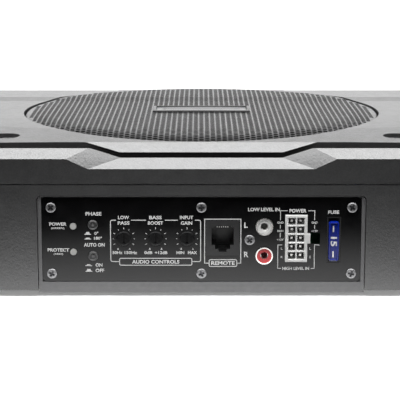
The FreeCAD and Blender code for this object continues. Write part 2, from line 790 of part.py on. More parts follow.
def moving_parts():
    """The cone, dust cap, voice coil and its former, and the spider that centres them."""
    neck = coil_radius + 0.5
    under = cone_high - 1
    flat = cone_radius - 5
    bottom = cone_high - 19.8
    cone_points = [
        (neck, bottom),
        (flat, under),
        (cone_radius, under),
        (cone_radius, frame_high),
        (flat, frame_high),
        (flat - 0.6, cone_high),
        (neck, bottom + 1.4),
    ]
    keep("cone", turned("cone", cone_points))
    cap = 34.0
    edge = bottom + 1.4 + (cone_high - bottom - 1.4) / (flat - 0.6 - neck) * (cap - neck)
    outer = [(cap, edge + 0.1)]
    inner = [(cap - 1.5, edge + 0.1)]
    for step in range(1, 7):
        angle = math.pi / 2 * step / 6
        outer.append((cap * math.cos(angle), edge + 0.1 + 9 * math.sin(angle)))
        inner.append(((cap - 1) * math.cos(angle), edge + 0.1 + 8.2 * math.sin(angle)))
    outer[-1] = (0, edge + 9.1)
    inner[-1] = (0, edge + 8.3)
    keep("dust_cap", turned("dust_cap", outer + inner[::-1]))
    former = ring("former", 0, 0, 17.9, neck, coil_radius, bottom - 17.9 + 1.4)
    keep("voice_coil_former", former)
    keep("voice_coil", ring("voice_coil", 0, 0, 18.5, neck + 0.9, neck, 11))
    waves = 5
    low = 34.0
    start = 56.0
    upper = []
    for step in range(waves * 4 + 1):
        radius = 48 - (48 - 23.5) * step / (waves * 4)
        height = low + 0.6 + 1.0 * math.sin(math.pi * step / 2)
        upper.append((radius, height))
    points = [(start, low), (start, low + 0.7)]
    points += [(radius, height + 0.6) for radius, height in upper]
    points += [(neck, low + 1.2), (neck, low + 0.5)]
    points += [(radius, height) for radius, height in upper[::-1]]
    keep("spider", turned("spider", points))


def motor():
    """The magnet between its steel plates, with the pole through the middle."""
    keep("top_plate", ring("top_plate", 0, 0, 20.6, 43, coil_radius + 2, 6))
    keep("magnet", ring("magnet", 0, 0, 12.4, 48, 25, 8.2))
    plate = cylinder("back_disc", 0, 0, 7.6, 43, 4.8)
    pole = cylinder("pole", 0, 0, 12.4, coil_radius - 0.7, 14)
    vent = cylinder("pole_vent", 0, 0, 6, 5, 24)
    keep("back_plate_and_pole", cut("back_plate_and_pole", join("yoke", plate, pole), vent))


def woofer_wiring():
    """The terminal block, its tags, the flexible leads to the cone and the leads from the board."""
    block = slab("terminal_block", 9, 71, 33, 8, 6.6)
    tags = [box("terminal_tag", 4 * side - 1.5, 73, 39.6, 3, 0.8, 3) for side in (-1, 1)]
    keep("speaker_terminals", join("speaker_terminals", block, *tags))
    leads = doc.addObject("Part::Feature", "tinsel_leads")
    runs = []
    for side in (-1, 1):
        runs.append([(5 * side, 75, 39.8), (5 * side, 75, 44.4), (5 * side, 62, 44.4), (5 * side, 51, 53.8)])
    leads.Shape = Part.makeCompound([wire_run(points, 0.6, 2) for points in runs])
    keep("tinsel_leads", leads)
    feed = doc.addObject("Part::Feature", "speaker_leads")
    runs = []
    for side in (-1, 1):
        shift = 4 * side
        runs.append(
            [
                (62 + shift, -46, 9.0),
                (62 + shift, -46 + 12, 12),
                (62 + shift, 86 + shift, 12),
                (4 * side, 86 + shift, 12),
                (4 * side, 76.8, 22),
                (4 * side, 76.8, 33),
            ]
        )
    feed.Shape = Part.makeCompound([wire_run(points, 1, 5) for points in runs])
    keep("speaker_leads", feed)


# ---------------------------------------------------------------- amplifier
def chassis_screw_places():
    """Four screws that hold the amplifier floor to the base."""
    return [((bay_half - 6) * side, front + chassis_depth * depth) for side in (-1, 1) for depth in (0.3, 0.85)]


def panel_screw_places():
    """Seven panel screws: six round the edge and one between the jacks."""
    high = panel_high - 4.9
    low = panel_low + 3.8
    x = panel_half - 4.3
    rim = [(x * side, height) for height in (high, low) for side in (-1, 0, 1)]
    return rim + [(as_size(23), panel_low + 20.35)]


def amp_chassis():
    """The cast chassis: a face plate in the bay, a floor and a row of cooling fins."""
    face = new_body("chassis_face")
    sketch = sketch_on(face, "chassis_face_outline", "XZ_Plane", -front - chassis_front)
    half = bay_half - chassis_gap
    top = bay_high - chassis_gap
    rectangle(sketch, -half, foot_height, half, top)
    plate_pad = pad(face, sketch, "chassis_face_pad", chassis_thick)
    plate_pad.Reversed = True
    doc.recompute()
    recess = slab("panel_recess", panel_half + 0.25, front, panel_low - 0.25, panel_in + panel_thick, 41.6)
    window = slab("chassis_window", 68.5, front, panel_low + 6.6, 12, 28)
    floor = slab("chassis_floor", half, front + chassis_front + 1, foot_height + 0.4, chassis_depth - 2, 2.4)
    holes = []
    for x, z in panel_screw_places()[:6]:
        holes.append(peg("chassis_hole", x, front, z, 1.25, 12))
    for x, y in chassis_screw_places():
        holes.append(cylinder("chassis_floor_hole", x, y, 0, 1.6, 9))
    fins = [
        box("fin", side * (32 + 6 * number) - 0.8, front + chassis_depth - 12, foot_height + 2.6, 1.6, 10, 18)
        for number in range(4)
        for side in (-1, 1)
    ]
    corners = []
    for side in (-1, 1):
        x = (half - bay_round) * side
        left = x - (bay_round if side < 0 else 0)
        outer = box("corner_block", left, front, top - bay_round, bay_round, 6, bay_round)
        round_part = peg("corner_round", x, front - 1, top - bay_round, bay_round, 8)
        corners.append(cut("corner_waste", outer, round_part))
    openings = [recess, window, *holes, *corners]
    keep("amp_chassis", cut("amp_chassis", join("chassis_solid", face, floor, *fins), *openings))


def amplifier():
    """The main board with its transformer, capacitors and transistors."""
    low = foot_height + 2.8
    board_low = low + 4
    y = front + board_in + board_thick + 1
    depth = chassis_depth - board_in - board_thick - 14.5
    board = slab("main_board_blank", 72, y, board_low, depth, board_thick)
    spots = [(66 * side, y + depth * share) for side in (-1, 1) for share in (0.15, 0.85)]
    holes = [cylinder("board_hole", x, spot, board_low - 1, 1.6, 4) for x, spot in spots]
    keep("main_board", cut("main_board", board, *holes))
    posts = [cylinder("standoff", x, spot, low, 3, 4) for x, spot in spots]
    middle = panel_screw_places()[6]
    post_in = panel_in + panel_thick
    bar = peg("panel_standoff", middle[0], front + post_in, middle[1], 2.6, board_in - post_in)
    bore = peg("panel_standoff_bore", middle[0], front + post_in - 1, middle[1], 1.25, 9)
    keep("standoffs", group("standoffs", *posts, cut("panel_post", bar, bore)))
    screws = [
        screw(f"board_screw_{number}", x, spot, board_low + board_thick, 2.6, 1.4, 1.5, 1.6, 1.6)
        for number, (x, spot) in enumerate(spots)
    ]
    keep("board_screws", group("board_screws", *screws))
    top = board_low + board_thick
    keep("transformer", ring("transformer", -38, y + 16, top, 12, 5.5, 13))
    cans = [cylinder("capacitor_can", x, y + 11, top, 7, 21) for x in (-4, 12)]
    keep("filter_capacitors", group("filter_capacitors", *cans))
    row = [box("transistor", x, y + depth - 5.2, top, 10, 4, 13) for x in (-22, -9, 4, 17)]
    keep("power_transistors", group("power_transistors", *row))
    clamp = box("transistor_clamp", -24, y + depth - 6.6, top + 7, 53, 1.4, 5)
    keep("transistor_clamp", clamp)


def control_board():
    """The upright board behind the panel."""
    board = slab("control_board_blank", 66, front + board_in, 14, board_thick, 28)
    passages = [
        box("board_passage", x - 0.5, front + board_in - 1, z - 0.5, 1, board_thick + 2, 1)
        for x, z in header_pin_places()
    ]
    keep("control_board", cut("control_board", board, *passages))
    screws = [
        screw(f"chassis_screw_{number}", x, y, foot_height + 2.8, 2.8, 1.4, 1.5, 1.9, 1.8)
        for number, (x, y) in enumerate(chassis_screw_places())
    ]
    keep("chassis_screws", group("chassis_screws", *screws))


# ---------------------------------------------------------------- control panel
LED_PLACES = {"power_led": (-61.2, 34.4), "protect_led": (-61.2, 21.8)}
BUTTON_PLACES = {"phase": (-51.8, 35.1), "auto_on": (-51.8, 19.85)}
KNOB_PLACES = {"low_pass": (-37.1, 28.3), "bass_boost": (-21.9, 28.3), "input_gain": (-6.9, 28.3)}
REMOTE_PLACE = (10.1, 28.8)
RCA_PLACES = {"white": (30.0, 34.3), "red": (30.0, 20.05)}
HEADER_PLACE = (45.2, 28.55)
FUSE_PLACE = (63.2, 27.0)
face_y = front + panel_in
back_y = front + panel_in + panel_thick


def control_panel():
    """The panel plate with every hole that its parts come through."""
    body = new_body("panel_plate")
    sketch = sketch_on(body, "panel_outline", "XZ_Plane", -face_y)
    rectangle(sketch, -panel_half, panel_low, panel_half, panel_high)
    plate_pad = pad(body, sketch, "panel_pad", panel_thick)
    plate_pad.Reversed = True
    doc.recompute()
    edges = []
    for number, edge in enumerate(body.Shape.Edges, 1):
        ends = [vertex.Point for vertex in edge.Vertexes]
        if abs(ends[0].y - ends[1].y) > 1:
            edges.append(f"Edge{number}")
    support = body.Tip
    corners = body.newObject("PartDesign::Fillet", "panel_corners")
    corners.Base = (support, edges)
    corners.Radius = 1.9
    body.Tip = corners
    doc.recompute()
    holes = [peg("panel_screw_hole", x, face_y - 1, z, 1.35, 4) for x, z in panel_screw_places()]
    holes += [peg("led_hole", x, face_y - 1, z, 1.7, 4) for x, z in LED_PLACES.values()]
    holes += [peg("button_hole", x, face_y - 1, z, button_radius + 0.15, 4) for x, z in BUTTON_PLACES.values()]
    holes += [peg("knob_hole", x, face_y - 1, z, knob_radius + 0.15, 4) for x, z in KNOB_PLACES.values()]
    holes += [peg("rca_hole", x, face_y - 1, z, 4.4, 4) for x, z in RCA_PLACES.values()]
    remote_x, remote_z = REMOTE_PLACE
    holes.append(box("remote_hole", remote_x - 8.2, face_y - 1, remote_z - 9.05, 16.4, 4, 18.1))
    header_x, header_z = HEADER_PLACE
    holes.append(box("header_hole", header_x - 5.4, face_y - 1, header_z - 11.6, 10.8, 4, 23.2))
    holes.append(box("latch_hole", header_x + 4, face_y - 1, header_z - 2.7, 7.4, 4, 5.4))
    fuse_x, fuse_z = FUSE_PLACE
    holes.append(box("fuse_hole", fuse_x - 3.3, face_y - 1, fuse_z - 10.4, 6.6, 4, 22.4))
    keep("control_panel", cut("control_panel", body, *holes))


def panel_screws():
    """Seven pan-head screws with cross slots."""
    out = Rotation(Vector(1, 0, 0), 90)
    screws = [
        screw(f"panel_screw_{number}", x, face_y, z, 2.5, 0.9, 1.25, 6.5, 1.5, out)
        for number, (x, z) in enumerate(panel_screw_places())
    ]
    keep("panel_screws", group("panel_screws", *screws))


def leds():
    """Two round lamps, each a lens with a flange on the control board side."""
    for name, (x, z) in LED_PLACES.items():
        lens = peg(name + "_lens", x, face_y - 0.3, z, 1.5, 8)
        foot = peg(name + "_foot", x, face_y + 7.7, z, 1.9, front + board_in - face_y - 7.7)
        keep(name, join(name, lens, foot))


def buttons():
    """Two push buttons with their switch bodies behind the panel."""
    for name, (x, z) in BUTTON_PLACES.items():
        cap = peg(name + "_cap", x, face_y - 0.6, z, button_radius, 4.6)
        stem = box(name + "_stem", x - 1, face_y + 4, z - 1, 2, 4.5, 2)
        keep(name + "_button", join(name + "_button", cap, stem))
        case_in = face_y + 7
        case = box(name + "_case", x - 3.5, case_in, z - 3.5, 7, front + board_in - case_in, 7)
        slot = box(name + "_slot", x - 1.3, case_in - 1, z - 1.3, 2.6, 5, 2.6)
        keep(name + "_switch", cut(name + "_switch", case, slot))


def knobs():
    """Three slotted knobs, each on its potentiometer."""
    pots = []
    for name, (x, z) in KNOB_PLACES.items():
        head = peg(name + "_head", x, face_y - 0.5, z, knob_radius, 3.6)
        shaft = peg(name + "_shaft", x, face_y + 3, z, 1.5, 5.5)
        slot = box(name + "_knob_slot", x - 2.9, face_y - 1, z - 0.4, 5.8, 1.6, 0.8)
        keep(name + "_knob", cut(name + "_knob", join(name + "_turned", head, shaft), slot))
        case_in = face_y + 4
        case = box(name + "_pot_case", x - 4.8, case_in, z - 5, 9.6, front + board_in - case_in, 10)
        bore = peg(name + "_pot_bore", x, case_in - 1, z, 1.56, 7)
        pots.append(cut(name + "_pot", case, bore))
    keep("potentiometers", group("potentiometers", *pots))


def remote_jack():
    """The six-position modular jack with its stepped mouth and spring contacts."""
    x, z = REMOTE_PLACE
    case = box("remote_case", x - 8.1, face_y + 0.1, z - 8.95, 16.2, 14.6, 17.9)
    mouth = box("remote_mouth", x - 5.3, face_y - 1, z - 3.6, 10.6, 13, 8.4)
    step = box("remote_step", x - 3.6, face_y - 1, z - 5.6, 7.2, 13, 2.4)
    latch = box("remote_latch", x - 1.9, face_y - 1, z - 7.0, 3.8, 9, 2)
    crown = box("remote_crown", x - 4.2, face_y - 1, z + 4, 8.4, 13, 1.6)
    keep("remote_jack", cut("remote_jack", case, mouth, step, latch, crown))
    wires = [
        box("remote_contact", x - 2.75 + 1.02 * number, face_y + 4, z + 4.2, 0.4, 7.9, 0.4)
        for number in range(6)
    ]
    keep("remote_jack_contacts", group("remote_jack_contacts", *wires))


def rca_jacks():
    """Two phono jacks: a metal shell, a coloured insulator and a sprung centre tube each."""
    shells = []
    centres = []
    for colour, (x, z) in RCA_PLACES.items():
        nose = face_y - 1
        shells.append(ring("rca_shell_" + colour, x, nose, z, 4.15, 3.55, 12, ALONG_Y))
        rod = peg("rca_insulator_rod", x, nose + 0.3, z, 3.55, 14)
        bore = peg("rca_insulator_bore", x, nose - 1, z, 1.9, 12)
        name = f"rca_insulator_{colour}"
        keep(name, cut(name, rod, bore))
        centres.append(ring("rca_centre_" + colour, x, nose + 2, z, 1.9, 1.62, 8.8, ALONG_Y))
    keep("rca_shells", group("rca_shells", *shells))
    keep("rca_centre_contacts", group("rca_centre_contacts", *centres))


def header_pin_places():
    """Middles of the ten header cells, in two columns of five."""
    x, z = HEADER_PLACE
    return [(x + pin_pitch * side, z + pin_pitch * row) for row in range(-2, 3) for side in (-0.5, 0.5)]


def power_header():
    """The ten-way power and high-level header, with its latch ramp and pins."""
    x, z = HEADER_PLACE
    nose = face_y - 0.9
    case = box("header_case", x - 5.25, nose, z - 11.45, 10.5, front + board_in - nose, 22.9)
    ramp = box("header_latch", x + 5.0, nose, z - 2.4, 1.7, 6, 4.7)
    places = header_pin_places()
    length = front + board_in - nose - 1.5
    cells = [box("header_cell", px - 1.75, nose - 1, pz - 1.75, 3.5, 10, 3.5) for px, pz in places]
    passages = [box("pin_passage", px - 0.5, nose + 2, pz - 0.5, 1, length, 1) for px, pz in places]
    pins = [box("header_pin", px - 0.5, nose + 2, pz - 0.5, 1, length, 1) for px, pz in places]
    keep("header_pins", group("header_pins", *pins))
    keep("power_header", cut("power_header", join("header_solid", case, ramp), *cells, *passages))


def fuse():
    """The blade fuse and the holder it plugs into."""
    x, z = FUSE_PLACE
    holder = box("holder_case", x - 3.2, face_y + 0.2, z - 10.3, 6.4, front + board_in - face_y - 0.2, 22.2)
    well = box("holder_well", x - 2.7, face_y - 1, z - 9.9, 5.4, 7.6, 21.4)
    slots = [box("holder_slot", x - 0.45, face_y + 5, z + end - 2.8, 0.9, 8.6, 5.6) for end in (-6.2, 6.2)]
    keep("fuse_holder", cut("fuse_holder", holder, well, *slots))
    cap = box("fuse_cap", x - 2.5, face_y - 0.8, z - 9.7, 5, 4.6, 19.4)
    waist = box("fuse_waist", x - 1.9, face_y + 3.6, z - 8.6, 3.8, 2.2, 17.2)
    blade_in = face_y + 2
    blades = [box("fuse_blade", x - 0.35, blade_in, z + end - 2.6, 0.7, 11, 5.2) for end in (-6.2, 6.2)]
    link = box("fuse_link", x - 0.35, blade_in, z - 4, 0.7, 1.6, 8)
    metal = join("fuse_blades", *blades, link)
    keep("fuse_blades", metal)
    spaces = [box("blade_space", x - 0.35, blade_in, z + end - 2.6, 0.7, 11, 5.2) for end in (-6.2, 6.2)]
    link_space = box("link_space", x - 0.35, blade_in, z - 4, 0.7, 1.6, 8)
    keep("fuse_body", cut("fuse_body", join("fuse_plastic", cap, waist), *spaces, link_space))


# ---------------------------------------------------------------- build, check and write
def build():
    """Makes every sub-part."""
    base_shell()
    upper_housing()
    housing_gasket()
    housing_screws()
    rubber_feet()
    top_cover()
    cover_screws()
    grille_mesh()
    grille_ring()
    grille_badge()
    woofer_basket()
    woofer_fixings()
    surround()
    moving_parts()
    motor()
    woofer_wiring()
    amp_chassis()
    amplifier()
    control_board()
    control_panel()
    panel_screws()
    leds()
    buttons()
    knobs()
    remote_jack()
    rca_jacks()
    power_header()
    fuse()
    doc.recompute()


def check():
    """Stops before writing if any object failed or any sub-part is not a sound solid."""
    faults = []
    for item in doc.Objects:
        if {"Invalid", "Error"} & set(item.State):
            faults.append(f"{item.Name}: {item.State}")
    for name, item in nodes.items():
        if item.Shape.isNull() or not item.Shape.isValid() or not item.Shape.Solids:
            faults.append(f"{name}: shape is not sound")
    if faults:
        raise RuntimeError("; ".join(faults))


def write():
    """Writes each sub-part to its own file."""
    os.makedirs("parts", exist_ok=True)
    for name, item in nodes.items():
        item.Shape.exportStep(os.path.join("parts", f"{name}.step"))
        box_now = item.Shape.BoundBox
        print(
            f"{name:24s} solids {len(item.Shape.Solids):2d} volume {item.Shape.Volume:10.1f}"
            f" x {box_now.XMin:7.2f} {box_now.XMax:7.2f} y {box_now.YMin:7.2f} {box_now.YMax:7.2f}"
            f" z {box_now.ZMin:6.2f} {box_now.ZMax:6.2f}"
        )


build()
check()
write()
print(len(nodes), "sub-parts")
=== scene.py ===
"""Looks of the low powered subwoofer: its grille, soft driver parts, printed panel and every finish.

Metres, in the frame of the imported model: the floor is Z = 0, +Z is up and the control panel faces -Y.
"""
import bmesh
import bpy
import json
import math
from mathutils import Euler, Matrix, Vector
from mathutils.bvhtree import BVHTree


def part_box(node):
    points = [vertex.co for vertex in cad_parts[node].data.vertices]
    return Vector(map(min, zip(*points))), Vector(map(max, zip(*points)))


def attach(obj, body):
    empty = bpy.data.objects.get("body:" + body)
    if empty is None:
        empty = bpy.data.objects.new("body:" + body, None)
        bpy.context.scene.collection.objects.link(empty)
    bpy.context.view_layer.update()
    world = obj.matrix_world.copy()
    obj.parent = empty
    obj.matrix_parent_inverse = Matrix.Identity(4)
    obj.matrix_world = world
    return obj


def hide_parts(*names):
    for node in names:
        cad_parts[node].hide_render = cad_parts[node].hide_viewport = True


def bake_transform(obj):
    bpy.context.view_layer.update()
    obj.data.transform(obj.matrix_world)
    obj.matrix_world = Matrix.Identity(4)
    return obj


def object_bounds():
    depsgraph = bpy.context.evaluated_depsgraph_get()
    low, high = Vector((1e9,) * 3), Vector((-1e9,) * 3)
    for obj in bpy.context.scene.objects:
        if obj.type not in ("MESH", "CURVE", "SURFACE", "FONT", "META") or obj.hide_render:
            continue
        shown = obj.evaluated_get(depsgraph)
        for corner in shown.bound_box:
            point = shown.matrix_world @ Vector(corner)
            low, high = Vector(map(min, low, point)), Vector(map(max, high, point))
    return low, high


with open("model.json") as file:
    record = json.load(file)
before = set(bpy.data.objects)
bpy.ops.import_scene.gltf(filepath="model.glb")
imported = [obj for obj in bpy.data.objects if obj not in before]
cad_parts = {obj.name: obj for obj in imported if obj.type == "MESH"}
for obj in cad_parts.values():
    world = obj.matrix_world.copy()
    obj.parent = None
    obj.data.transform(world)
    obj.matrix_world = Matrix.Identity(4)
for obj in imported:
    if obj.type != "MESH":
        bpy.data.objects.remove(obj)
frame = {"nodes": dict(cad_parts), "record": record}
CAD_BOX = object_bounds()
MM = 0.001
HOUSING = "housing"
KNOBS = ("low_pass_knob", "bass_boost_knob", "input_gain_knob")
BUTTONS = ("phase_button", "auto_on_button")


# ---------------------------------------------------------------- small tools
def link(name, data):
    """Puts new data into the scene as an object."""
    item = bpy.data.objects.new(name, data)
    bpy.context.scene.collection.objects.link(item)
    return item


def mesh_piece(name, form, material, smooth=None):
    """A piece from a bmesh. Edges under the smooth angle, in degrees, are shaded round."""
    bmesh.ops.recalc_face_normals(form, faces=form.faces)
    data = bpy.data.meshes.new(name)
    form.to_mesh(data)
    form.free()
    data.materials.append(material)
    if smooth is not None:
        data.shade_smooth()
        data.set_sharp_from_angle(angle=math.radians(smooth))
    return link(name, data)


def finish_piece(piece, body, slot, *replaced):
    """Puts a piece on its body and hides the CAD nodes that it stands for; slot is not used."""
    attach(piece, body)
    if replaced:
        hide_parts(*replaced)
    return piece


def face_up(piece):
    """Turns an open sheet so that its normals point up."""
    if sum(face.normal.z * face.area for face in piece.data.polygons) < 0:
        piece.data.flip_normals()


def middle(node):
    """Centre of a CAD node's box."""
    low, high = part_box(node)
    return (low + high) / 2


def reach(node):
    """Half of a CAD node's size along X, Y and Z."""
    low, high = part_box(node)
    return (high - low) / 2


def in_metres(profile):
    """(radius, height) points given in millimetres, as metres."""
    return [(radius * MM, height * MM) for radius, height in profile]


def bridge(form, near, far, closed=True):
    """Faces from one ring, or open row, of corners to the next."""
    made = []
    for step in range(len(near) if closed else len(near) - 1):
        after = (step + 1) % len(near)
        made.append(form.faces.new((near[step], near[after], far[after], far[step])))
    return made


def thicken(piece, thickness):
    """Gives an open sheet its thickness, from its upper face down."""
    face_up(piece)
    made = piece.modifiers.new("thickness", "SOLIDIFY")
    made.thickness = thickness
    made.offset = -1


def lathe(form, profile, centre, steps=64, start=0.0, sweep=math.tau, axis="Z"):
    """Turns (radius, height) points about an upright axis, or about the Y axis with height towards -Y."""
    closed = abs(sweep - math.tau) < 1e-6
    count = steps if closed else steps + 1
    rings = []
    for step in range(count):
        angle = start + sweep * step / steps
        ring = []
        for radius, height in profile:
            across = radius * math.cos(angle)
            along = radius * math.sin(angle)
            offset = Vector((across, along, height)) if axis == "Z" else Vector((across, -height, along))
            ring.append(form.verts.new(centre + offset))
        rings.append(ring)
    for step in range(steps):
        near = rings[step]
        far = rings[(step + 1) % count]
        for row in range(len(profile) - 1):
            form.faces.new((near[row], far[row], far[row + 1], near[row + 1]))
    bmesh.ops.remove_doubles(form, verts=form.verts, dist=1e-7)
    return form


def tube_mesh(name, points, radius, material):
    """A round wire through points, as a mesh."""
    curve = bpy.data.curves.new(name + "_path", "CURVE")
    curve.dimensions = "3D"
    curve.bevel_depth = radius
    curve.bevel_resolution = 3
    curve.use_fill_caps = True
    spline = curve.splines.new("NURBS")
    spline.points.add(len(points) - 1)
    for place, point in zip(spline.points, points):
        place.co = (*point, 1)
    spline.order_u = 3
    spline.use_endpoint_u = True
    holder = link(name + "_path", curve)
    bpy.context.view_layer.update()
    data = bpy.data.meshes.new_from_object(holder)
    bpy.data.objects.remove(holder)
    data.name = name
    data.materials.clear()
    data.materials.append(material)
    data.shade_smooth()
    return link(name, data)


# ---------------------------------------------------------------- finishes
class Finish:
    """A node material under construction, on one principled shader."""

    def __init__(self, name, colour, rough, metal=0.0, **plain):
        self.material = bpy.data.materials.new(name)
        self.material.use_nodes = True
        self.tree = self.material.node_tree
        self.shader = self.tree.nodes["Principled BSDF"]
        self.colour = (*colour, 1)
        self.shader.inputs["Base Color"].default_value = self.colour
        self.shader.inputs["Roughness"].default_value = rough
        self.shader.inputs["Metallic"].default_value = metal
        for title, value in plain.items():
            self.shader.inputs[title.replace("_", " ")].default_value = value
        self.rough = rough
        self.place = self.node("ShaderNodeTexCoord").outputs["Object"]
        self.normal = None

    def node(self, kind, **values):
        made = self.tree.nodes.new(kind)
        for key, value in values.items():
            if key in made.bl_rna.properties:
                setattr(made, key, value)
            else:
                made.inputs[key.replace("_", " ")].default_value = value
        return made

    def join(self, output, target):
        self.tree.links.new(output, target)

    def stretched(self, scale):
        """Object coordinates scaled apart along X, Y and Z."""
        mapping = self.node("ShaderNodeMapping")
        mapping.inputs["Scale"].default_value = scale
        self.join(self.place, mapping.inputs["Vector"])
        return mapping.outputs["Vector"]

    def noise(self, size, detail=3.0, roughness=0.55, place=None):
        """Cloudy values with features of about size metres."""
        made = self.node("ShaderNodeTexNoise", Scale=1 / size, Detail=detail, Roughness=roughness)
        self.join(place or self.place, made.inputs["Vector"])
        return made.outputs["Fac"]

    def cells(self, size, feature="SMOOTH_F1"):
        """Rounded cells of about size metres."""
        made = self.node("ShaderNodeTexVoronoi", feature=feature, Scale=1 / size)
        self.join(self.place, made.inputs["Vector"])
        return made.outputs["Distance"]

    def stripes(self, size, direction):
        """Parallel ridges, size metres apart."""
        made = self.node("ShaderNodeTexWave", Scale=math.tau / 20 / size)
        made.bands_direction = direction
        self.join(self.place, made.inputs["Vector"])
        return made.outputs["Fac"]

    def spread(self, value, low, high, from_low=0.3, from_high=0.7):
        """Maps a pattern to a range of numbers."""
        made = self.node("ShaderNodeMapRange")
        made.inputs["From Min"].default_value = from_low
        made.inputs["From Max"].default_value = from_high
        made.inputs["To Min"].default_value = low
        made.inputs["To Max"].default_value = high
        self.join(value, made.inputs["Value"])
        return made.outputs["Result"]

    def tint(self, value, other, from_low=0.3, from_high=0.7):
        """Lets the colour drift to another one where the pattern is high."""
        made = self.node("ShaderNodeMix", data_type="RGBA")
        source = self.shader.inputs["Base Color"]
        colour_a = made.inputs[6]
        colour_b = made.inputs[7]
        colour_a.default_value = self.colour
        colour_b.default_value = (*other, 1)
        if source.is_linked:
            self.join(source.links[0].from_socket, colour_a)
        self.join(self.spread(value, 0.0, 1.0, from_low, from_high), made.inputs[0])
        self.join(made.outputs[2], source)
        return self

    def polish(self, value, swing):
        """Varies the roughness by swing about its middle."""
        spread = self.spread(value, max(self.rough - swing, 0.02), min(self.rough + swing, 1.0))
        self.join(spread, self.shader.inputs["Roughness"])
        return self

    def relief(self, value, depth, strength=1.0):
        """Raises the surface by depth metres where the pattern is high."""
        made = self.node("ShaderNodeBump", Strength=strength, Distance=depth)
        self.join(value, made.inputs["Height"])
        if self.normal:
            self.join(self.normal, made.inputs["Normal"])
        self.normal = made.outputs["Normal"]
        self.join(self.normal, self.shader.inputs["Normal"])
        return self


def pebbled_coat():
    coat = Finish("pebbled_coat", (0.006, 0.0061, 0.0063), 0.34, Specular_IOR_Level=0.62)
    grain = coat.noise(0.0011, 4.0, 0.62)
    coat.tint(coat.noise(0.0007, 3.0), (0.017, 0.0171, 0.0175))
    coat.polish(coat.noise(0.004), 0.02)
    coat.relief(coat.cells(0.0009), 0.00012, 0.30)
    coat.relief(grain, 0.00028, 0.36)
    return coat.material


def chassis_paint():
    paint = Finish("chassis_paint", (0.045, 0.045, 0.047), 0.40, Specular_IOR_Level=0.6)
    paint.tint(paint.noise(0.003), (0.06, 0.06, 0.062))
    paint.polish(paint.noise(0.002), 0.06)
    paint.relief(paint.noise(0.0006, 2.0), 0.00008, 0.35)
    return paint.material


def gloss_panel():
    plate = Finish("gloss_panel", (0.003, 0.003, 0.0033), 0.14, Specular_IOR_Level=0.24)
    plate.tint(plate.noise(0.02), (0.004, 0.004, 0.0044))
    plate.polish(plate.noise(0.006), 0.03)
    plate.relief(plate.noise(0.003, 2.0), 0.00001, 0.15)
    return plate.material


def mesh_paint():
    paint = Finish("mesh_paint", (0.008, 0.008, 0.0084), 0.36, Specular_IOR_Level=0.5)
    paint.tint(paint.noise(0.004), (0.014, 0.014, 0.0146))
    paint.polish(paint.noise(0.002), 0.06)
    paint.relief(paint.noise(0.0005, 2.0), 0.00004, 0.3)
    return paint.material


def metal(name, colour, rough, grain, stretch, swing=0.08):
    """Plated or bare metal with a fine directional grain."""
    plating = Finish(name, colour, rough, 1.0)
    strands = plating.noise(grain, 3.0, 0.6, plating.stretched(stretch))
    plating.tint(plating.noise(grain * 6), tuple(c * 0.82 for c in colour))
    plating.polish(strands, swing)
    plating.relief(strands, 0.00002, 0.35)
    return plating.material


def plastic(name, colour, rough, grain=0.0006, depth=0.00003, drift=0.8, **plain):
    """Moulded plastic with a faint tool texture."""
    moulded = Finish(name, colour, rough, 0.0, **plain)
    moulded.tint(moulded.noise(grain * 8), tuple(c * drift for c in colour))
    moulded.polish(moulded.noise(grain * 3), min(0.05, rough * 0.4))
    moulded.relief(moulded.noise(grain, 2.0), depth, 0.3)
    return moulded.material


def clear_plastic(name, colour, rough, share):
    """Plastic that lets a share of the light through."""
    body = Finish(name, colour, rough, 0.0, Transmission_Weight=share, IOR=1.5, Specular_IOR_Level=0.25)
    body.tint(body.noise(0.003), tuple(c * 0.85 for c in colour))
    body.relief(body.noise(0.001, 2.0), 0.00002, 0.2)
    return body.material


def rubber(name, colour, grain):
    soft = Finish(name, colour, 0.62, Specular_IOR_Level=0.45)
    soft.tint(soft.noise(grain * 5), tuple(c * 1.5 for c in colour))
    soft.polish(soft.noise(grain * 4), 0.08)
    soft.relief(soft.noise(grain), 0.00006, 0.4)
    return soft.material


def foam():
    cellular = Finish("closed_foam", (0.018, 0.018, 0.019), 0.9)
    cellular.tint(cellular.cells(0.0006), (0.04, 0.04, 0.042), 0.1, 0.6)
    cellular.relief(cellular.cells(0.0006), 0.0002, 0.8)
    return cellular.material


def cone_pulp():
    pulp = Finish("cone_pulp", (0.016, 0.016, 0.0165), 0.72)
    pulp.tint(pulp.noise(0.0012, 5.0, 0.7), (0.035, 0.034, 0.033))
    pulp.relief(pulp.noise(0.0009, 5.0, 0.7), 0.00018, 0.6)
    return pulp.material


def spider_cloth():
    cloth = Finish("spider_cloth", (0.36, 0.22, 0.07), 0.85, Sheen_Weight=0.25)
    cloth.tint(cloth.stripes(0.0008, "X"), (0.24, 0.14, 0.04), 0.2, 0.8)
    cloth.tint(cloth.stripes(0.0008, "Y"), (0.28, 0.16, 0.05), 0.5, 1.0)
    cloth.relief(cloth.stripes(0.0008, "X"), 0.00012, 0.5)
    cloth.relief(cloth.stripes(0.0008, "Y"), 0.00012, 0.5)
    return cloth.material


def solder_mask():
    mask = Finish("solder_mask", (0.010, 0.085, 0.03), 0.28)
    tracks = mask.cells(0.004, "DISTANCE_TO_EDGE")
    mask.tint(tracks, (0.018, 0.16, 0.055), 0.02, 0.08)
    mask.tint(mask.noise(0.01), (0.012, 0.11, 0.04))
    mask.relief(tracks, 0.00004, 0.4)
    return mask.material


def winding(name, colour):
    """Fine enamelled wire, wound side by side."""
    wire = Finish(name, colour, 0.3, 1.0)
    turns = wire.stripes(0.0005, "Z")
    wire.tint(turns, tuple(c * 0.5 for c in colour), 0.4, 0.9)
    wire.relief(turns, 0.0001, 0.8)
    return wire.material


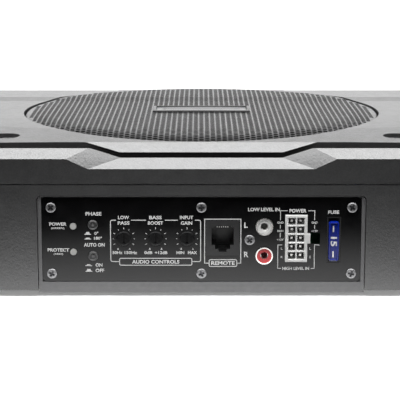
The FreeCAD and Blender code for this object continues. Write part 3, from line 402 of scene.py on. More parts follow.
def insulation():
    """Lead insulation: red on one side of the middle and black on the other."""
    jacket = Finish("lead_insulation", (0.015, 0.015, 0.015), 0.4)
    across = jacket.node("ShaderNodeSeparateXYZ")
    jacket.join(jacket.place, across.inputs["Vector"])
    jacket.tint(across.outputs["X"], (0.42, 0.02, 0.02), 0.0, 0.0001)
    jacket.relief(jacket.noise(0.0008), 0.00003, 0.3)
    return jacket.material


def ferrite_block():
    ferrite = Finish("ferrite_block", (0.045, 0.045, 0.047), 0.55)
    ferrite.tint(ferrite.noise(0.0015, 5.0, 0.7), (0.085, 0.083, 0.08))
    ferrite.relief(ferrite.noise(0.0007, 4.0), 0.0001, 0.5)
    return ferrite.material


def ink():
    print_white = Finish("panel_ink", (0.80, 0.80, 0.79), 0.55, Specular_IOR_Level=0.3)
    print_white.tint(print_white.noise(0.0008), (0.70, 0.70, 0.70))
    print_white.relief(print_white.noise(0.0004), 0.00001, 0.3)
    return print_white.material


def floor_paper():
    paper = Finish("floor_paper", (0.86, 0.86, 0.86), 0.8,
                   Emission_Color=(1, 1, 1, 1), Emission_Strength=0.10)
    paper.tint(paper.noise(0.4), (0.84, 0.84, 0.84))
    paper.relief(paper.noise(0.002), 0.00002, 0.1)
    return paper.material


INK = ink()
SLOT_FINISH = {
    "textured_black": pebbled_coat(),
    "chassis_grey": chassis_paint(),
    "gloss_panel": gloss_panel(),
    "mesh_black": mesh_paint(),
    "screw_steel": metal("zinc_plating", (0.13, 0.13, 0.133), 0.36, 0.0005, (1, 1, 6)),
    # Black zinc also serves as painted shade in the panel screws' cross recesses.
    "black_screw": metal("black_zinc_and_recess_shade", (0.045, 0.045, 0.048), 0.36, 0.0004, (1, 1, 1)),
    "bright_metal": metal("nickel_plating", (0.62, 0.61, 0.59), 0.2, 0.0006, (4, 1, 1), 0.05),
    "tin_contacts": metal("tin_plating", (0.46, 0.455, 0.44), 0.34, 0.0004, (1, 6, 1)),
    "white_plastic": plastic("white_nylon", (0.62, 0.62, 0.61), 0.38, drift=0.93, Subsurface_Weight=0.7,
                             Subsurface_Radius=(1.0, 1.0, 1.0), Subsurface_Scale=0.002),
    "red_plastic": plastic("red_moulding", (0.52, 0.035, 0.04), 0.32, drift=0.85),
    "fuse_blue": clear_plastic("blue_polycarbonate", (0.002, 0.017, 0.27), 0.12, 0.3),
    "led_lens": clear_plastic("milky_lens", (0.60, 0.60, 0.58), 0.3, 0.25),
    "black_plastic": plastic("black_moulding", (0.007, 0.007, 0.0075), 0.34, Specular_IOR_Level=0.3),
    "badge_metal": metal("badge_satin", (0.16, 0.162, 0.165), 0.34, 0.0004, (0.1, 8, 1)),
    "rubber_black": rubber("black_rubber", (0.016, 0.016, 0.016), 0.0008),
    "foam_black": foam(),
    "cone_paper": cone_pulp(),
    "cap_gloss": plastic("cap_skin", (0.014, 0.014, 0.015), 0.22),
    "spider_cloth": spider_cloth(),
    "coil_copper": winding("coil_wire", (0.60, 0.24, 0.10)),
    "former_kraft": metal("former_foil", (0.62, 0.62, 0.60), 0.3, 0.0008, (1, 1, 5)),
    "motor_steel": metal("motor_plating", (0.48, 0.48, 0.46), 0.34, 0.0009, (1, 1, 4)),
    "ferrite": ferrite_block(),
    "basket_black": plastic("basket_powder", (0.018, 0.018, 0.019), 0.5, 0.0005, 0.00008),
    "board_green": solder_mask(),
    "component_black": plastic("moulded_epoxy", (0.016, 0.016, 0.018), 0.5),
    "copper_winding": winding("choke_wire", (0.55, 0.23, 0.08)),
    "lead_red_black": insulation(),
}

KNOB_FINISH = plastic("knob_moulding", (0.003, 0.003, 0.0033), 0.30, Specular_IOR_Level=0.10)
CAP_FINISH = plastic("cap_moulding", (0.012, 0.012, 0.0125), 0.30, Specular_IOR_Level=0.5)

for part in frame["record"]["subparts"]:
    item = frame["nodes"][part["node"]]
    finish = SLOT_FINISH[part["material_slot"]]
    if not item.material_slots:
        item.data.materials.append(finish)
    for slot in item.material_slots:
        slot.material = finish


# ---------------------------------------------------------------- camera, lights and floor
LENS_MM = 135.1
SENSOR_MM = 36
CAMERA_ASIDE = 0.0007
CAMERA_BACK = 0.6962
CAMERA_HEIGHT = 0.1947
CAMERA_DIP = 11.94
FLOOR_HALF = 24
CARD_HALF = 0.6
CARD_LIFT = 0.0001
SKY_STRENGTH = 0.55


def camera_in_front():
    """A long lens, square on to the control panel and looking a little down."""
    low, high = CAD_BOX
    low, high = Vector(low), Vector(high)
    data = bpy.data.cameras.new("camera")
    data.lens = LENS_MM
    data.sensor_width = SENSOR_MM
    data.clip_end = 60
    camera = link("camera", data)
    camera.location = ((low.x + high.x) / 2 - CAMERA_ASIDE, low.y - CAMERA_BACK, CAMERA_HEIGHT)
    camera.rotation_euler = (math.radians(90 - CAMERA_DIP), 0, 0)
    bpy.context.scene.camera = camera


def softbox(name, place, turn, size, radiance):
    """A rectangular light, turned in degrees, whose face keeps its radiance at any size."""
    lamp = bpy.data.lights.new(name, "AREA")
    lamp.shape = "RECTANGLE"
    lamp.size, lamp.size_y = size
    lamp.energy = radiance * math.pi * size[0] * size[1]
    item = link(name, lamp)
    item.location = place
    item.rotation_euler = Euler([math.radians(angle) for angle in turn])
    item.visible_camera = False
    return item


def lights():
    """Three soft boxes: over the panel, low behind the object, and one that only its gloss mirrors."""
    softbox("overhead_box", (0, -0.31, 1.15), (0, 0, 0), (2.6, 0.46), 17.5)
    softbox("rear_box", (0, 2.2, 0.47), (-90, 0, 0), (5.0, 0.52), 2.25)
    front_box = softbox("front_box", (0, -1.05, 1.05), (45, 0, 0), (5.4, 0.45), 13.0)
    front_box.visible_diffuse = False


def square(name, half, material):
    """A flat square of floor about the origin."""
    form = bmesh.new()
    bmesh.ops.create_grid(form, x_segments=2, y_segments=2, size=half)
    return mesh_piece(name, form, material)


def near_paper():
    """Bright paper that fades out with the distance from the object."""
    near = Finish("near_paper", (0.85, 0.85, 0.85), 0.8,
                  Emission_Color=(1, 1, 1, 1), Emission_Strength=1.6)
    far_off = near.node("ShaderNodeVectorMath", operation="LENGTH")
    near.join(near.stretched((0.9, 1.25, 1.0)), far_off.inputs[0])
    whole_to, gone_by = 0.15, 0.32
    fade = near.spread(far_off.outputs["Value"], 1.0, 0.0, whole_to, gone_by)
    near.join(fade, near.shader.inputs["Alpha"])
    return near.material


def floor_and_card():
    """The floor that the camera sees, and the card whose glow only the object's gloss picks up."""
    floor = square("floor", FLOOR_HALF, floor_paper())
    floor.visible_glossy = False
    floor.visible_diffuse = False
    card = square("floor_reflection", CARD_HALF, near_paper())
    card.location.z = CARD_LIFT
    card.visible_camera = False
    card.visible_diffuse = False
    card.visible_shadow = False
    card.visible_transmission = False


def sky_above_horizon():
    """A white surround that is dark below the horizon."""
    world = bpy.data.worlds.new("studio")
    bpy.context.scene.world = world
    world.use_nodes = True
    tree = world.node_tree
    sky = tree.nodes["Background"]
    place = tree.nodes.new("ShaderNodeTexCoord")
    split = tree.nodes.new("ShaderNodeSeparateXYZ")
    rise = tree.nodes.new("ShaderNodeMapRange")
    rise.inputs["From Min"].default_value = -0.02
    rise.inputs["From Max"].default_value = 0.05
    rise.inputs["To Min"].default_value = 0.0
    rise.inputs["To Max"].default_value = SKY_STRENGTH
    tree.links.new(place.outputs["Generated"], split.inputs["Vector"])
    tree.links.new(split.outputs["Z"], rise.inputs["Value"])
    tree.links.new(rise.outputs["Result"], sky.inputs["Strength"])
    sky.inputs["Color"].default_value = (1, 1, 1, 1)


camera_in_front()
lights()
floor_and_card()
sky_above_horizon()
bpy.context.scene.view_settings.view_transform = "Standard"

# ---------------------------------------------------------------- grille
COLUMN_PITCH = 2.8 * MM
ROW_PITCH = 3.25 * MM
HOLE_RADIUS = 1.2 * MM
HOLE_SQUARENESS = 0.62
BORDER = 0.9 * MM
SHEET_THICK = 0.8 * MM
ROLL_WIDTH = 16 * MM
ROLL_DROP = 2.0 * MM
SKIRT_DROP = 1.9 * MM
CELL_CORNERS = [(-2, 0), (-1, 1), (1, 1), (2, 0), (1, -1), (-1, -1)]
LINE_TOLERANCE = 0.001 * MM
PROBES = 400


def crease_line():
    """(y, z) along the top of the grille sheet, front to rear, with its straight runs joined."""
    data = frame["nodes"]["grille_mesh"].data
    corners = [vertex.co for vertex in data.vertices]
    tree = BVHTree.FromPolygons(corners, [face.vertices for face in data.polygons])
    low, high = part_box("grille_mesh")
    centre = (low + high) / 2
    aside = centre.x + (high.x - low.x) * 0.27
    span = (high.y - low.y) * 0.36
    line = []
    for step in range(PROBES + 1):
        y = centre.y - span + 2 * span * step / PROBES
        hit = tree.ray_cast(Vector((aside, y, high.z + 10 * MM)), Vector((0, 0, -1)))[0]
        if hit is None:
            continue
        while len(line) >= 2 and on_line(line[-2], line[-1], (y, hit.z)):
            line.pop()
        line.append((y, hit.z))
    return line


def on_line(first, second, third):
    """Whether the middle one of three (y, z) points lies on the line through the others."""
    share = (second[0] - first[0]) / (third[0] - first[0])
    return abs(first[1] + (third[1] - first[1]) * share - second[1]) < LINE_TOLERANCE


def height_on(line, place):
    """Height of a line of (place, height) points, carried on past both ends."""
    for near, far in zip(line, line[1:]):
        if place <= far[0] or far == line[-1]:
            share = (place - near[0]) / (far[0] - near[0])
            return near[1] + (far[1] - near[1]) * share
    return line[-1][1]


def squared(ratio):
    """A sine or cosine pushed outwards, which turns a circle into a square with rounded corners."""
    return math.copysign(abs(ratio) ** HOLE_SQUARENESS, ratio)


def perforated_sheet(centre, radius, level):
    """A staggered lattice of six-sided cells, each with one hole, and a row of plain cells at the rim."""
    hole_reach = radius - BORDER
    form = bmesh.new()
    corners = {}

    def corner(x, y):
        """The vertex at a place, shared between the cells that meet there."""
        key = (round(x / (0.01 * MM)), round(y / (0.01 * MM)))
        if key not in corners:
            corners[key] = form.verts.new((centre.x + x, centre.y + y, level(x, y)))
        return corners[key]

    def cell(x, y):
        distance = math.hypot(x, y)
        if distance > hole_reach + COLUMN_PITCH * 0.5:
            return
        rim = [corner(x + across * COLUMN_PITCH / 3, y + along * ROW_PITCH / 2)
               for across, along in CELL_CORNERS]
        if distance > hole_reach - 0.5 * COLUMN_PITCH:
            form.faces.new(rim)
            return
        ring = []
        for step in range(12):
            angle = math.pi - math.tau * step / 12
            hole_x = x + HOLE_RADIUS * squared(math.cos(angle))
            hole_y = y + HOLE_RADIUS * squared(math.sin(angle))
            ring.append(form.verts.new((centre.x + hole_x, centre.y + hole_y, level(hole_x, hole_y))))
        for step in range(6):
            near = rim[step]
            far = rim[(step + 1) % 6]
            first, second, third = (ring[(2 * step + turn) % 12] for turn in range(3))
            form.faces.new((near, far, third, second, first))

    columns = int(radius / COLUMN_PITCH) + 1
    rows = int(radius / ROW_PITCH) + 1
    for column in range(-columns, columns + 1):
        shift = ROW_PITCH / 2 if column % 2 else 0
        for row in range(-rows, rows + 1):
            cell(column * COLUMN_PITCH, row * ROW_PITCH + shift)
    for vertex in form.verts:
        flat = Vector((vertex.co.x - centre.x, vertex.co.y - centre.y))
        if flat.length > hole_reach:
            flat = flat.normalized() * hole_reach
            vertex.co.x = centre.x + flat.x
            vertex.co.y = centre.y + flat.y
            vertex.co.z = level(flat.x, flat.y)
    sheet = mesh_piece("grille_perforated", form, SLOT_FINISH["mesh_black"])
    thicken(sheet, SHEET_THICK)
    finish_piece(sheet, HOUSING, "mesh_black", "grille_mesh")


def rolled_border(centre, radius, foot, level):
    """The sheet's plain edge, rolled over and drawn down to the foot of its skirt."""
    inner = radius - BORDER - 0.5 * MM
    section = [
        (inner, 0.02 * MM), (radius - 1.0 * MM, -0.05 * MM), (radius - 0.55 * MM, -0.35 * MM),
        (radius - 0.15 * MM, -1.1 * MM), (radius, -SKIRT_DROP), (radius, None),
        (radius - SHEET_THICK, None), (radius - SHEET_THICK, -SKIRT_DROP), (inner, -SHEET_THICK),
    ]
    steps = 180
    form = bmesh.new()
    rings = []
    for step in range(steps):
        angle = math.tau * step / steps
        ring = []
        for out, drop in section:
            x = out * math.cos(angle)
            y = out * math.sin(angle)
            z = foot if drop is None else level(x, y) + drop
            ring.append(form.verts.new((centre.x + x, centre.y + y, z)))
        rings.append(ring)
    for near, far in zip(rings, rings[1:] + rings[:1]):
        bridge(form, near, far)
    border = mesh_piece("grille_border", form, SLOT_FINISH["mesh_black"], smooth=50)
    finish_piece(border, HOUSING, "mesh_black")


def grille():
    """The round mesh, which follows the cover's facets."""
    low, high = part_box("grille_mesh")
    centre = (low + high) / 2
    radius = (high.x - low.x) / 2
    line = crease_line()

    def level(x, y):
        """Height of the sheet, which is drawn down near the rim at its front and sides."""
        near_rim = max(0.0, 1 - (radius - math.hypot(x, y)) / ROLL_WIDTH)
        forward = min(1.0, max(0.0, 0.5 - 0.7 * y / radius))
        return height_on(line, centre.y + y) - ROLL_DROP * forward * min(near_rim, 1.0) ** 2

    perforated_sheet(centre, radius, level)
    rolled_border(centre, radius, low.z, level)


grille()


def badge_bezel(low, high, centre, half):
    """A rectangular ring with a rounded top edge."""
    form = bmesh.new()
    section = [(0.0, None), (0.0, 0.5), (0.3, 0.15), (0.9, 0.02), (1.5, 0.15), (1.7, 0.6), (1.7, None)]
    rings = []
    for inset, drop in section:
        across = half.x - inset * MM
        along = half.y - inset * MM
        z = low.z if drop is None else high.z - drop * MM
        rings.append([form.verts.new((centre.x + across * x, centre.y + along * y, z))
                      for x, y in ((-1, -1), (1, -1), (1, 1), (-1, 1))])
    for near, far in zip(rings, rings[1:] + rings[:1]):
        bridge(form, near, far)
    bezel = mesh_piece("badge_bezel", form, SLOT_FINISH["black_plastic"], smooth=35)
    finish_piece(bezel, HOUSING, "black_plastic", "grille_badge")


def badge_plate(high, centre, half):
    """A slightly crowned plate with three embossed bars that stop short of its ends."""
    form = bmesh.new()
    columns = 60
    bar = 0.22
    crown_rise = 0.12
    bar_end = 0.86
    inner_x = half.x - 1.75 * MM
    inner_y = half.y - 1.75 * MM
    profile = [
        (-1, 0.0), (-0.72, 0.0), (-0.66, bar), (-0.30, bar), (-0.24, 0.0), (-0.10, 0.0), (-0.04, bar),
        (0.30, bar), (0.36, 0.0), (0.50, 0.0), (0.56, bar), (0.74, bar), (0.80, 0.0), (1, 0.0),
    ]
    rows = []
    for along, rise in profile:
        row = []
        for step in range(columns + 1):
            across = -1 + 2 * step / columns
            crown = crown_rise * (1 - across * across)
            ends = 1.0 if abs(across) < bar_end else 0.0
            z = high.z - 0.75 * MM + (rise * ends + crown) * MM
            row.append(form.verts.new((centre.x + inner_x * across, centre.y + inner_y * along, z)))
        rows.append(row)
    for near, far in zip(rows, rows[1:]):
        bridge(form, near, far, closed=False)
    plate = mesh_piece("badge_plate", form, SLOT_FINISH["badge_metal"], smooth=20)
    thicken(plate, 0.2 * MM)
    finish_piece(plate, HOUSING, "badge_metal")


def badge():
    """A plain badge: a dark bezel round a satin plate."""
    low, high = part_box("grille_badge")
    centre = (low + high) / 2
    half = (high - low) / 2
    badge_bezel(low, high, centre, half)
    badge_plate(high, centre, half)


badge()

# ---------------------------------------------------------------- soft parts of the driver
SECTORS = 16
SECTOR_STEPS = 6


def sectored(name, profile, centre, slot, node):
    """A ring turned in equal sectors, each a separate piece."""
    sweep = math.tau / SECTORS
    for number in range(SECTORS):
        start = sweep * number
        form = lathe(bmesh.new(), profile, centre, SECTOR_STEPS, start, sweep)
        piece = mesh_piece(f"{name}_{number}", form, SLOT_FINISH[slot], smooth=60)
        if number == 0:
            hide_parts(node)
        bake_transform(piece)


def surround():
    """The half-roll rubber ring between the woofer frame and the cone."""
    low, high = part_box("surround")
    centre = Vector(((low.x + high.x) / 2, (low.y + high.y) / 2, 0))
    outer = (high.x - low.x) / 2
    inner = reach("cone").x - 2.5 * MM
    thick = 0.8 * MM
    arc_steps = 12
    land = low.z
    roll_out = outer - 5.0 * MM
    roll_in = inner + 3.5 * MM
    middle_radius = (roll_out + roll_in) / 2
    half = (roll_out - roll_in) / 2
    rise = high.z - land - thick
    top = [(outer, land + thick), (roll_out, land + thick)]
    under = [(outer, land), (roll_out, land)]
    for step in range(1, arc_steps):
        out = math.cos(math.pi * step / arc_steps)
        up = math.sin(math.pi * step / arc_steps)
        top.append((middle_radius + half * out, land + thick + rise * up))
        under.append((middle_radius + (half - thick) * out, land + (rise - 0.1 * MM) * up))
    top += [(roll_in, land + thick), (inner, land + thick)]
    under += [(roll_in, land), (inner, land)]
    profile = top + under[::-1] + top[:1]
    sectored("surround_roll", profile, centre, "rubber_black", "surround")


def spider():
    """The corrugated centring disc round the voice coil."""
    low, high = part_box("spider")
    centre = Vector(((low.x + high.x) / 2, (low.y + high.y) / 2, 0))
    outer = (high.x - low.x) / 2
    inner = reach("voice_coil_former").x + 0.4 * MM
    level = (low.z + high.z) / 2
    thick = 0.25 * MM
    wave_height = 0.9 * MM
    waves = 5
    steps = waves * 8
    top = []
    under = []
    for step in range(steps + 1):
        share = step / steps
        radius = outer + (inner - outer) * share
        swell = wave_height * math.sin(math.tau * waves * share) * min(1.0, 8 * share, 8 * (1 - share))
        top.append((radius, level + swell + thick))
        under.append((radius, level + swell - thick))
    profile = top + under[::-1] + top[:1]
    sectored("spider_cloth", profile, centre, "spider_cloth", "spider")


def tinsel():
    """Two braided leads from the terminals to the cone."""
    low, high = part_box("tinsel_leads")
    radius = 0.55 * MM
    x_middle = (low.x + high.x) / 2
    x_reach = (high.x - low.x) / 2 - radius - 0.05 * MM
    far = high.y - radius - 0.05 * MM
    near = low.y + radius + 0.3 * MM
    level = low.z + (high.z - low.z) * 0.33
    for number, side in enumerate((-1, 1)):
        x = x_middle + x_reach * side
        path = [(x, far, low.z + 0.02 * MM), (x, far, level), (x, (far + near) / 2, level - 0.2 * MM),
                (x, near, high.z - radius - 0.2 * MM)]
        piece = tube_mesh(f"tinsel_lead_{number}", path, radius, SLOT_FINISH["tin_contacts"])
        if number == 0:
            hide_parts("tinsel_leads")
        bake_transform(piece)


surround()
spider()
tinsel()

# ---------------------------------------------------------------- printed marks of the control panel
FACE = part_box("control_panel")[0].y
PRINT_PROUD = 0.03 * MM
LINE = 0.38
FINE_LINE = 0.3
TICK_LINE = 0.28
# Text, the X and Z of its middle, its width and its height, in millimetres.
WORDS = [
    ("POWER", -68.4, 35.5, 8.2, 1.65), ("(GREEN)", -68.5, 33.4, 6.4, 1.0),
    ("PROTECT", -68.4, 22.8, 10.3, 1.65), ("(RED)", -68.5, 20.7, 4.6, 1.0),
    ("PHASE", -51.4, 40.5, 7.5, 1.75),
    ("0\u00b0", -50.2, 31.0, 1.9, 1.5), ("180\u00b0", -49.4, 28.6, 3.8, 1.5),
    ("AUTO ON", -51.2, 25.3, 9.9, 1.75), ("ON", -49.1, 15.4, 3.3, 1.7), ("OFF", -48.7, 12.7, 4.2, 1.7),
    ("LOW", -37.1, 38.7, 5.3, 1.7), ("PASS", -37.1, 36.0, 5.6, 1.7),
    ("BASS", -21.9, 38.7, 6.0, 1.7), ("BOOST", -21.9, 36.0, 7.3, 1.7),
    ("INPUT", -7.1, 38.7, 6.3, 1.7), ("GAIN", -7.1, 36.0, 5.4, 1.7),
    ("50Hz", -40.2, 21.5, 4.7, 1.5), ("150Hz", -33.8, 21.5, 6.0, 1.5),
    ("0dB", -25.4, 21.5, 3.8, 1.5), ("+12dB", -19.3, 21.5, 6.0, 1.5),
    ("MIN", -10.1, 21.5, 3.8, 1.5), ("MAX", -4.3, 21.5, 4.4, 1.5),
    ("AUDIO CONTROLS", -21.9, 16.95, 22.7, 1.8), ("REMOTE", 10.3, 16.35, 11.3, 1.9),
    ("L", 21.2, 35.0, 1.7, 2.6), ("R", 21.4, 20.6, 2.1, 2.6),
    ("LOW LEVEL IN", 29.7, 42.6, 15.1, 1.7), ("POWER", 45.9, 42.0, 8.1, 1.75),
    ("HIGH LEVEL IN", 45.2, 13.7, 12.8, 1.5), ("FUSE", 62.9, 41.3, 5.3, 1.7),
    ("GND", 37.6, 36.2, 3.0, 1.0), ("REM", 37.6, 32.1, 2.8, 1.0), ("+12V", 37.6, 27.9, 3.2, 1.0),
    ("GND", 53.9, 36.2, 3.0, 1.0), ("+12V", 54.0, 32.1, 3.2, 1.0),
    ("L", 38.4, 23.5, 0.8, 1.1), ("R", 38.4, 19.3, 0.9, 1.1),
    ("L", 52.0, 23.5, 0.8, 1.1), ("R", 52.0, 19.3, 0.9, 1.1),
]
# X and Z of the symbol's foot, and the height of its cap, in millimetres.
BUTTON_SYMBOLS = [(-54.3, 30.3, 1.0), (-54.3, 28.0, 0.5), (-54.0, 14.9, 0.5), (-54.0, 12.1, 1.0)]
SMALL_PRINT = 1.2


def glyphs(text, width, height, turn=0.0, weight=0.02):
    """Letters as a thin mesh about its own middle, in X and Z, of a stated size in millimetres."""
    curve = bpy.data.curves.new("glyphs", "FONT")
    curve.body = text
    curve.offset = weight
    curve.extrude = 0.01
    curve.resolution_u = 3
    holder = link("glyphs", curve)
    bpy.context.view_layer.update()
    data = bpy.data.meshes.new_from_object(holder)
    bpy.data.objects.remove(holder)
    xs = [vertex.co.x for vertex in data.vertices]
    ys = [vertex.co.y for vertex in data.vertices]
    wide = max(xs) - min(xs)
    tall = max(ys) - min(ys)
    spin = Matrix.Rotation(turn, 3, "Y")
    for vertex in data.vertices:
        across = ((vertex.co.x - min(xs)) / wide - 0.5) * width * MM
        up = ((vertex.co.y - min(ys)) / tall - 0.5) * height * MM
        vertex.co = spin @ Vector((across, -PRINT_PROUD if vertex.co.z > 0 else 0, up))
    return data


def stroke(form, points, width=LINE, closed=False):
    """A flat line of constant width along (x, z) points in mm, with mitred corners."""
    places = [Vector(point) for point in points]
    count = len(places)
    sides = []
    for number, place in enumerate(places):
        before = places[number - 1] if number or closed else None
        after = places[(number + 1) % count] if number < count - 1 or closed else None
        first = (place - before).normalized() if before is not None else (after - place).normalized()
        second = (after - place).normalized() if after is not None else first
        along = (first + second).normalized()
        normal = Vector((-along.y, along.x)) * (width / 2 / max(along.dot(first), 0.3))
        sides.append((place + normal, place - normal))
    made = []
    for pair in sides:
        made.append([form.verts.new((side.x * MM, FACE - PRINT_PROUD, side.y * MM)) for side in pair])
    last = count if closed else count - 1
    for number in range(last):
        near = made[number]
        far = made[(number + 1) % count]
        form.faces.new((near[0], near[1], far[1], far[0]))


def rounded_run(points, radius):
    """Points in mm with each inner corner turned on an arc."""
    run = [points[0]]
    for before, place, after in zip(points, points[1:], points[2:]):
        corner = Vector(place)
        back = (Vector(before) - corner).normalized()
        ahead = (Vector(after) - corner).normalized()
        for step in range(7):
            share = step / 6
            run.append(tuple(corner + back * radius * (1 - share) ** 2 + ahead * radius * share ** 2))
    return run + [points[-1]]


def rounded_box(left, low, right, high, radius=0.7):
    """A closed frame in mm, starting at the middle of its lower side."""
    middle_x = (left + right) / 2
    corners = [(middle_x, low), (right, low), (right, high), (left, high), (left, low), (middle_x, low)]
    return rounded_run(corners, radius)


def polygon(form, points):
    """A filled outline of (x, z) points in mm."""
    form.faces.new([form.verts.new((x * MM, FACE - PRINT_PROUD, z * MM)) for x, z in points])


def printed_words():
    """Plain functional words of the controls and sockets."""
    form = bmesh.new()
    for text, x, z, width, height in WORDS:
        weight = 0.028 if height > SMALL_PRINT else 0.015
        data = glyphs(text, width, height, weight=weight)
        data.transform(Matrix.Translation((x * MM, FACE, z * MM)))
        form.from_mesh(data)
        bpy.data.meshes.remove(data)
    finish_piece(mesh_piece("panel_words", form, INK), HOUSING, "gloss_panel")


def control_frames(form):
    """The frames round the three knobs and the remote jack, with their captions' boxes."""
    left, right, low, high = -43.4, -0.4, 17.1, 37.4
    box_left, box_right = -39.2, -4.6
    stroke(form, rounded_run([(box_left, low), (left, low), (left, high), (-40.7, high)], 1.0))
    stroke(form, rounded_run([(box_right, low), (right, low), (right, high), (-3.1, high)], 1.0))
    stroke(form, [(-33.5, high), (-26.4, high)])
    stroke(form, [(-17.4, high), (-11.2, high)])
    stroke(form, rounded_box(box_left, 15.3, box_right, 18.7))
    left, right, low, high = 1.5, 18.8, 16.3, 37.9
    box_left, box_right = 3.7, 16.9
    stroke(form, [(box_left, low), (left, low), (left, high), (right, high), (right, low), (box_right, low)])
    stroke(form, rounded_box(box_left, 14.7, box_right, 18.0))


def header_brackets(form):
    """The fine lines that lead from the header's captions to its rows."""
    left, right, high, low = 37.6, 53.9, 42.0, 13.7
    runs = [
        [(left, 37.4), (left, high), (41.0, high)],
        [(50.8, high), (right, high), (right, 37.4)],
        [(left, 35.1), (left, 33.3)],
        [(left, 31.1), (left, 29.0)],
        [(right, 35.1), (right, 33.3)],
        [(38.6, 25.3), (36.5, 25.3), (36.5, low), (38.2, low)],
        [(52.3, low), (54.0, low), (54.0, 25.3), (56.4, 25.3)],
    ]
    for run in runs:
        stroke(form, run, FINE_LINE)


def dial_marks(form, centre):
    """Ticks round a knob, and a small triangle at each end of its travel."""
    dial_radius = 4.75
    for step in range(-4, 5):
        angle = math.radians(30 * step)
        out = Vector((math.sin(angle), math.cos(angle)))
        near = Vector((centre.x, centre.z)) + out * dial_radius
        length = 0.9 if step % 2 == 0 else 0.5
        stroke(form, [tuple(near), tuple(near + out * length)], TICK_LINE)
    for side in (-1, 1):
        x = centre.x + 2.8 * side
        z = centre.z - 4.9
        polygon(form, [(x - 0.5, z - 0.4), (x + 0.5, z - 0.4), (x, z + 0.5)])


def button_symbol(form, x, z, rise):
    """A push button seen from the side: its base, and its cap standing out or pressed in."""
    base = z + 0.35
    polygon(form, [(x - 1.6, z), (x + 1.6, z), (x + 1.6, base), (x - 1.6, base)])
    polygon(form, [(x - 1.1, base), (x + 1.1, base), (x + 0.7, base + rise), (x - 0.7, base + rise)])


def printed_lines():
    """Frames, brackets, dial ticks and push-button symbols."""
    form = bmesh.new()
    control_frames(form)
    header_brackets(form)
    for name in KNOBS:
        dial_marks(form, middle(name) / MM)
    for x, z, rise in BUTTON_SYMBOLS:
        button_symbol(form, x, z, rise)
    finish_piece(mesh_piece("panel_lines", form, INK), HOUSING, "gloss_panel")


printed_words()
printed_lines()


# ---------------------------------------------------------------- controls and fasteners
MERGE = 1e-6
SCREW_RADIUS = 2.5 * MM
SINGLE_SCREW_X = 0.023
SINGLE_SCREW_RISE = 20.35 * MM


def circle_points(radius, count):
    """An outline of (x, z) points."""
    turns = [math.tau * step / count for step in range(count)]
    return [(radius * math.cos(turn), radius * math.sin(turn)) for turn in turns]


def pierced_disc(form, centre, rim, hole, front, deep, second=0):
    """A flat face with a recess. Both outlines are in X and Z, and second is the index of the recess's
    material; a darker material there is painted shade in the recess.
    """
    loops = []
    for outline in (rim, hole):
        ring = [form.verts.new(centre + Vector((x, -front, z))) for x, z in outline]
        loops.append(ring)
    edges = []
    for ring in loops:
        edges += [form.edges.new(pair) for pair in zip(ring, ring[1:] + ring[:1])]
    bmesh.ops.triangle_fill(form, edges=edges, use_beauty=True)
    bottom = [form.verts.new(vertex.co + Vector((0, deep, 0))) for vertex in loops[1]]
    for face in [*bridge(form, loops[1], bottom), form.faces.new(bottom)]:
        face.material_index = second


def cross_outline(arm, half):
    """A plus-shaped outline."""
    return [(half, half), (half, arm), (-half, arm), (-half, half), (-arm, half), (-arm, -half),
            (-half, -half), (-half, -arm), (half, -arm), (half, -half), (arm, -half), (arm, half)]


def panel_screw_places():
    """(x, z) of the three pairs of screws along the panel's edges, and of the one beside the jacks."""
    low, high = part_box("panel_screws")
    xs = [low.x + SCREW_RADIUS, (low.x + high.x) / 2, high.x - SCREW_RADIUS]
    zs = [low.z + SCREW_RADIUS, high.z - SCREW_RADIUS]
    places = [(x, z) for x in xs for z in zs]
    places.append((SINGLE_SCREW_X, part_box("control_panel")[0].z + SINGLE_SCREW_RISE))
    return places


def panel_screw_heads():
    """Pan-head screws with a cross recess, one for each of the seven CAD screws. The recess is drawn in
    darker black zinc as painted shade.
    """
    steps = 36
    flat = 1.65 * MM
    top = 0.8 * MM
    profile = in_metres([
        (0.0, -6.5), (1.2, -6.3), (1.25, -6.0), (1.25, 0.0), (2.5, 0.0), (2.49, 0.3), (2.42, 0.52),
        (2.25, 0.68), (1.95, 0.78), (1.65, 0.8),
    ])
    for number, (x, z) in enumerate(panel_screw_places()):
        form = bmesh.new()
        centre = Vector((x, FACE, z))
        lathe(form, profile, centre, steps, axis="Y")
        recess = cross_outline(1.5 * MM, 0.5 * MM)
        # The cross recess takes material 1, the darker black zinc, as painted shade in the recess.
        pierced_disc(form, centre, circle_points(flat, steps), recess, top, 1.3 * MM, 1)
        bmesh.ops.remove_doubles(form, verts=form.verts, dist=MERGE)
        turn = Matrix.Rotation(0.5 + 1.9 * number, 3, "Y")
        bmesh.ops.rotate(form, verts=form.verts, cent=centre, matrix=turn)
        head = mesh_piece(f"panel_screw_{number}", form, SLOT_FINISH["screw_steel"], smooth=40)
        # Second material: darker black zinc that paints shade into the cross recess.
        head.data.materials.append(SLOT_FINISH["black_screw"])
        finish_piece(head, HOUSING, "screw_steel", *(["panel_screws"] if number == 0 else []))


def front_of(node):
    """Middle of a CAD node's front."""
    place = middle(node)
    place.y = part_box(node)[0].y
    return place


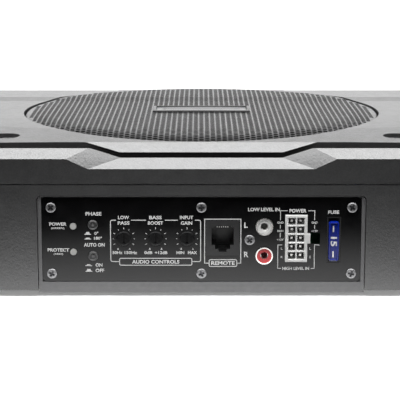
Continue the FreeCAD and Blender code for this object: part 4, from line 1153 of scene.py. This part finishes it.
def knob(name):
    """A slotted control knob with a bevelled face. Its body has the same name as its node."""
    steps = 48
    dish = 0.12
    slot_half, slot_reach = 0.42 * MM, 2.3 * MM
    centre = front_of(name)
    radius = reach(name).x
    wide = radius / MM
    profile = in_metres([
        (0.0, -9.0), (1.5, -9.0), (1.5, -3.6), (wide, -3.6), (wide, -0.45), (wide - 0.1, -0.2),
        (wide - 0.35, -0.02), (wide - 0.7, 0.0), (wide - 0.8, -dish),
    ])
    form = lathe(bmesh.new(), profile, centre, steps, axis="Y")
    rim = circle_points(radius - 0.8 * MM, steps)
    slot = [(-slot_half, -slot_reach), (slot_half, -slot_reach),
            (slot_half, slot_reach), (-slot_half, slot_reach)]
    pierced_disc(form, centre, rim, slot, -dish * MM, 1.1 * MM)
    bmesh.ops.remove_doubles(form, verts=form.verts, dist=MERGE)
    piece = mesh_piece(name + "_turned", form, KNOB_FINISH, smooth=35)
    finish_piece(piece, name, "black_plastic", name)


def button(name):
    """A round push button with a raised rim, a dished face and a pip. Its body has its node's name."""
    wide = reach(name).x / MM
    profile = in_metres([
        (0.0, -9.1), (1.0, -9.1), (1.0, -4.6), (wide, -4.6), (wide, -0.35), (wide - 0.1, -0.14),
        (wide - 0.28, -0.02), (wide - 0.42, 0.0), (wide - 0.58, -0.06), (wide - 0.72, -0.3),
        (wide - 0.76, -0.9), (0.8, -1.0), (0.55, -0.9), (0.5, -0.4), (0.3, -0.25), (0.0, -0.22),
    ])
    form = lathe(bmesh.new(), profile, front_of(name), 40, axis="Y")
    piece = mesh_piece(name + "_cap", form, CAP_FINISH, smooth=40)
    finish_piece(piece, name, "black_plastic", name)


def fuse_outline(form, centre, half, inset, y):
    """A rounded rectangle of new vertices, drawn in from the fuse's sides by inset."""
    corner_steps = 4
    bend = max(1.1 * MM - inset, 0.2 * MM)
    run = []
    for corner, (side_x, side_z) in enumerate(((1, 1), (-1, 1), (-1, -1), (1, -1))):
        bend_x = centre.x + side_x * (half.x - inset - bend)
        bend_z = centre.z + side_z * (half.z - inset - bend)
        for step in range(corner_steps + 1):
            angle = math.pi / 2 * corner + math.pi / 2 * step / corner_steps
            run.append(form.verts.new((bend_x + bend * math.cos(angle), y, bend_z + bend * math.sin(angle))))
    return run


def fuse_case(low, high, centre):
    """The translucent body: a rounded cap with a sunk face."""
    form = bmesh.new()
    half = reach("fuse_body")
    shoulder = low.y + 4.6 * MM
    section = [
        (0.6, high.y), (0.6, shoulder), (0.0, shoulder), (0.0, low.y + 0.5 * MM), (0.18, low.y + 0.12 * MM),
        (0.5, low.y), (0.85, low.y + 0.02 * MM), (1.0, low.y + 0.35 * MM),
    ]
    layers = [fuse_outline(form, centre, half, inset * MM, y) for inset, y in section]
    for near, far in zip(layers, layers[1:]):
        bridge(form, near, far)
    form.faces.new(layers[0])
    form.faces.new(layers[-1])
    case = mesh_piece("fuse_case", form, SLOT_FINISH["fuse_blue"], smooth=40)
    finish_piece(case, "fuse", "fuse_blue", "fuse_body")


def fuse_rating(low, centre):
    """The current rating, printed along the sunk face."""
    digits = glyphs("15", 4.6, 3.0, turn=math.pi / 2, weight=0.03)
    digits.materials.clear()
    digits.materials.append(INK)
    rating = link("fuse_rating", digits)
    rating.location = (centre.x, low.y + 0.36 * MM, centre.z)
    finish_piece(rating, "fuse", "fuse_blue")


def fuse_test_points(low, centre):
    """The two bare ends of the blades that show in the face."""
    for number, side in enumerate((-1, 1)):
        form = bmesh.new()
        half = (0.3 * MM, 0.14 * MM, 1.5 * MM)
        bmesh.ops.create_cube(form, size=2)
        bmesh.ops.scale(form, verts=form.verts, vec=half)
        bmesh.ops.bevel(form, geom=form.edges[:], offset=0.1 * MM, segments=2, affect="EDGES")
        place = Vector((centre.x - 0.3 * MM, low.y + 0.3 * MM, centre.z + 6.2 * MM * side))
        bmesh.ops.translate(form, verts=form.verts, vec=place)
        point = mesh_piece(f"fuse_test_point_{number}", form, SLOT_FINISH["tin_contacts"], smooth=40)
        finish_piece(point, "fuse", "tin_contacts")


def fuse():
    """The blade fuse's body, its rating and its test points."""
    low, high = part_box("fuse_body")
    centre = (low + high) / 2
    fuse_case(low, high, centre)
    fuse_rating(low, centre)
    fuse_test_points(low, centre)


panel_screw_heads()
for control in KNOBS:
    knob(control)
for control in BUTTONS:
    button(control)
fuse()
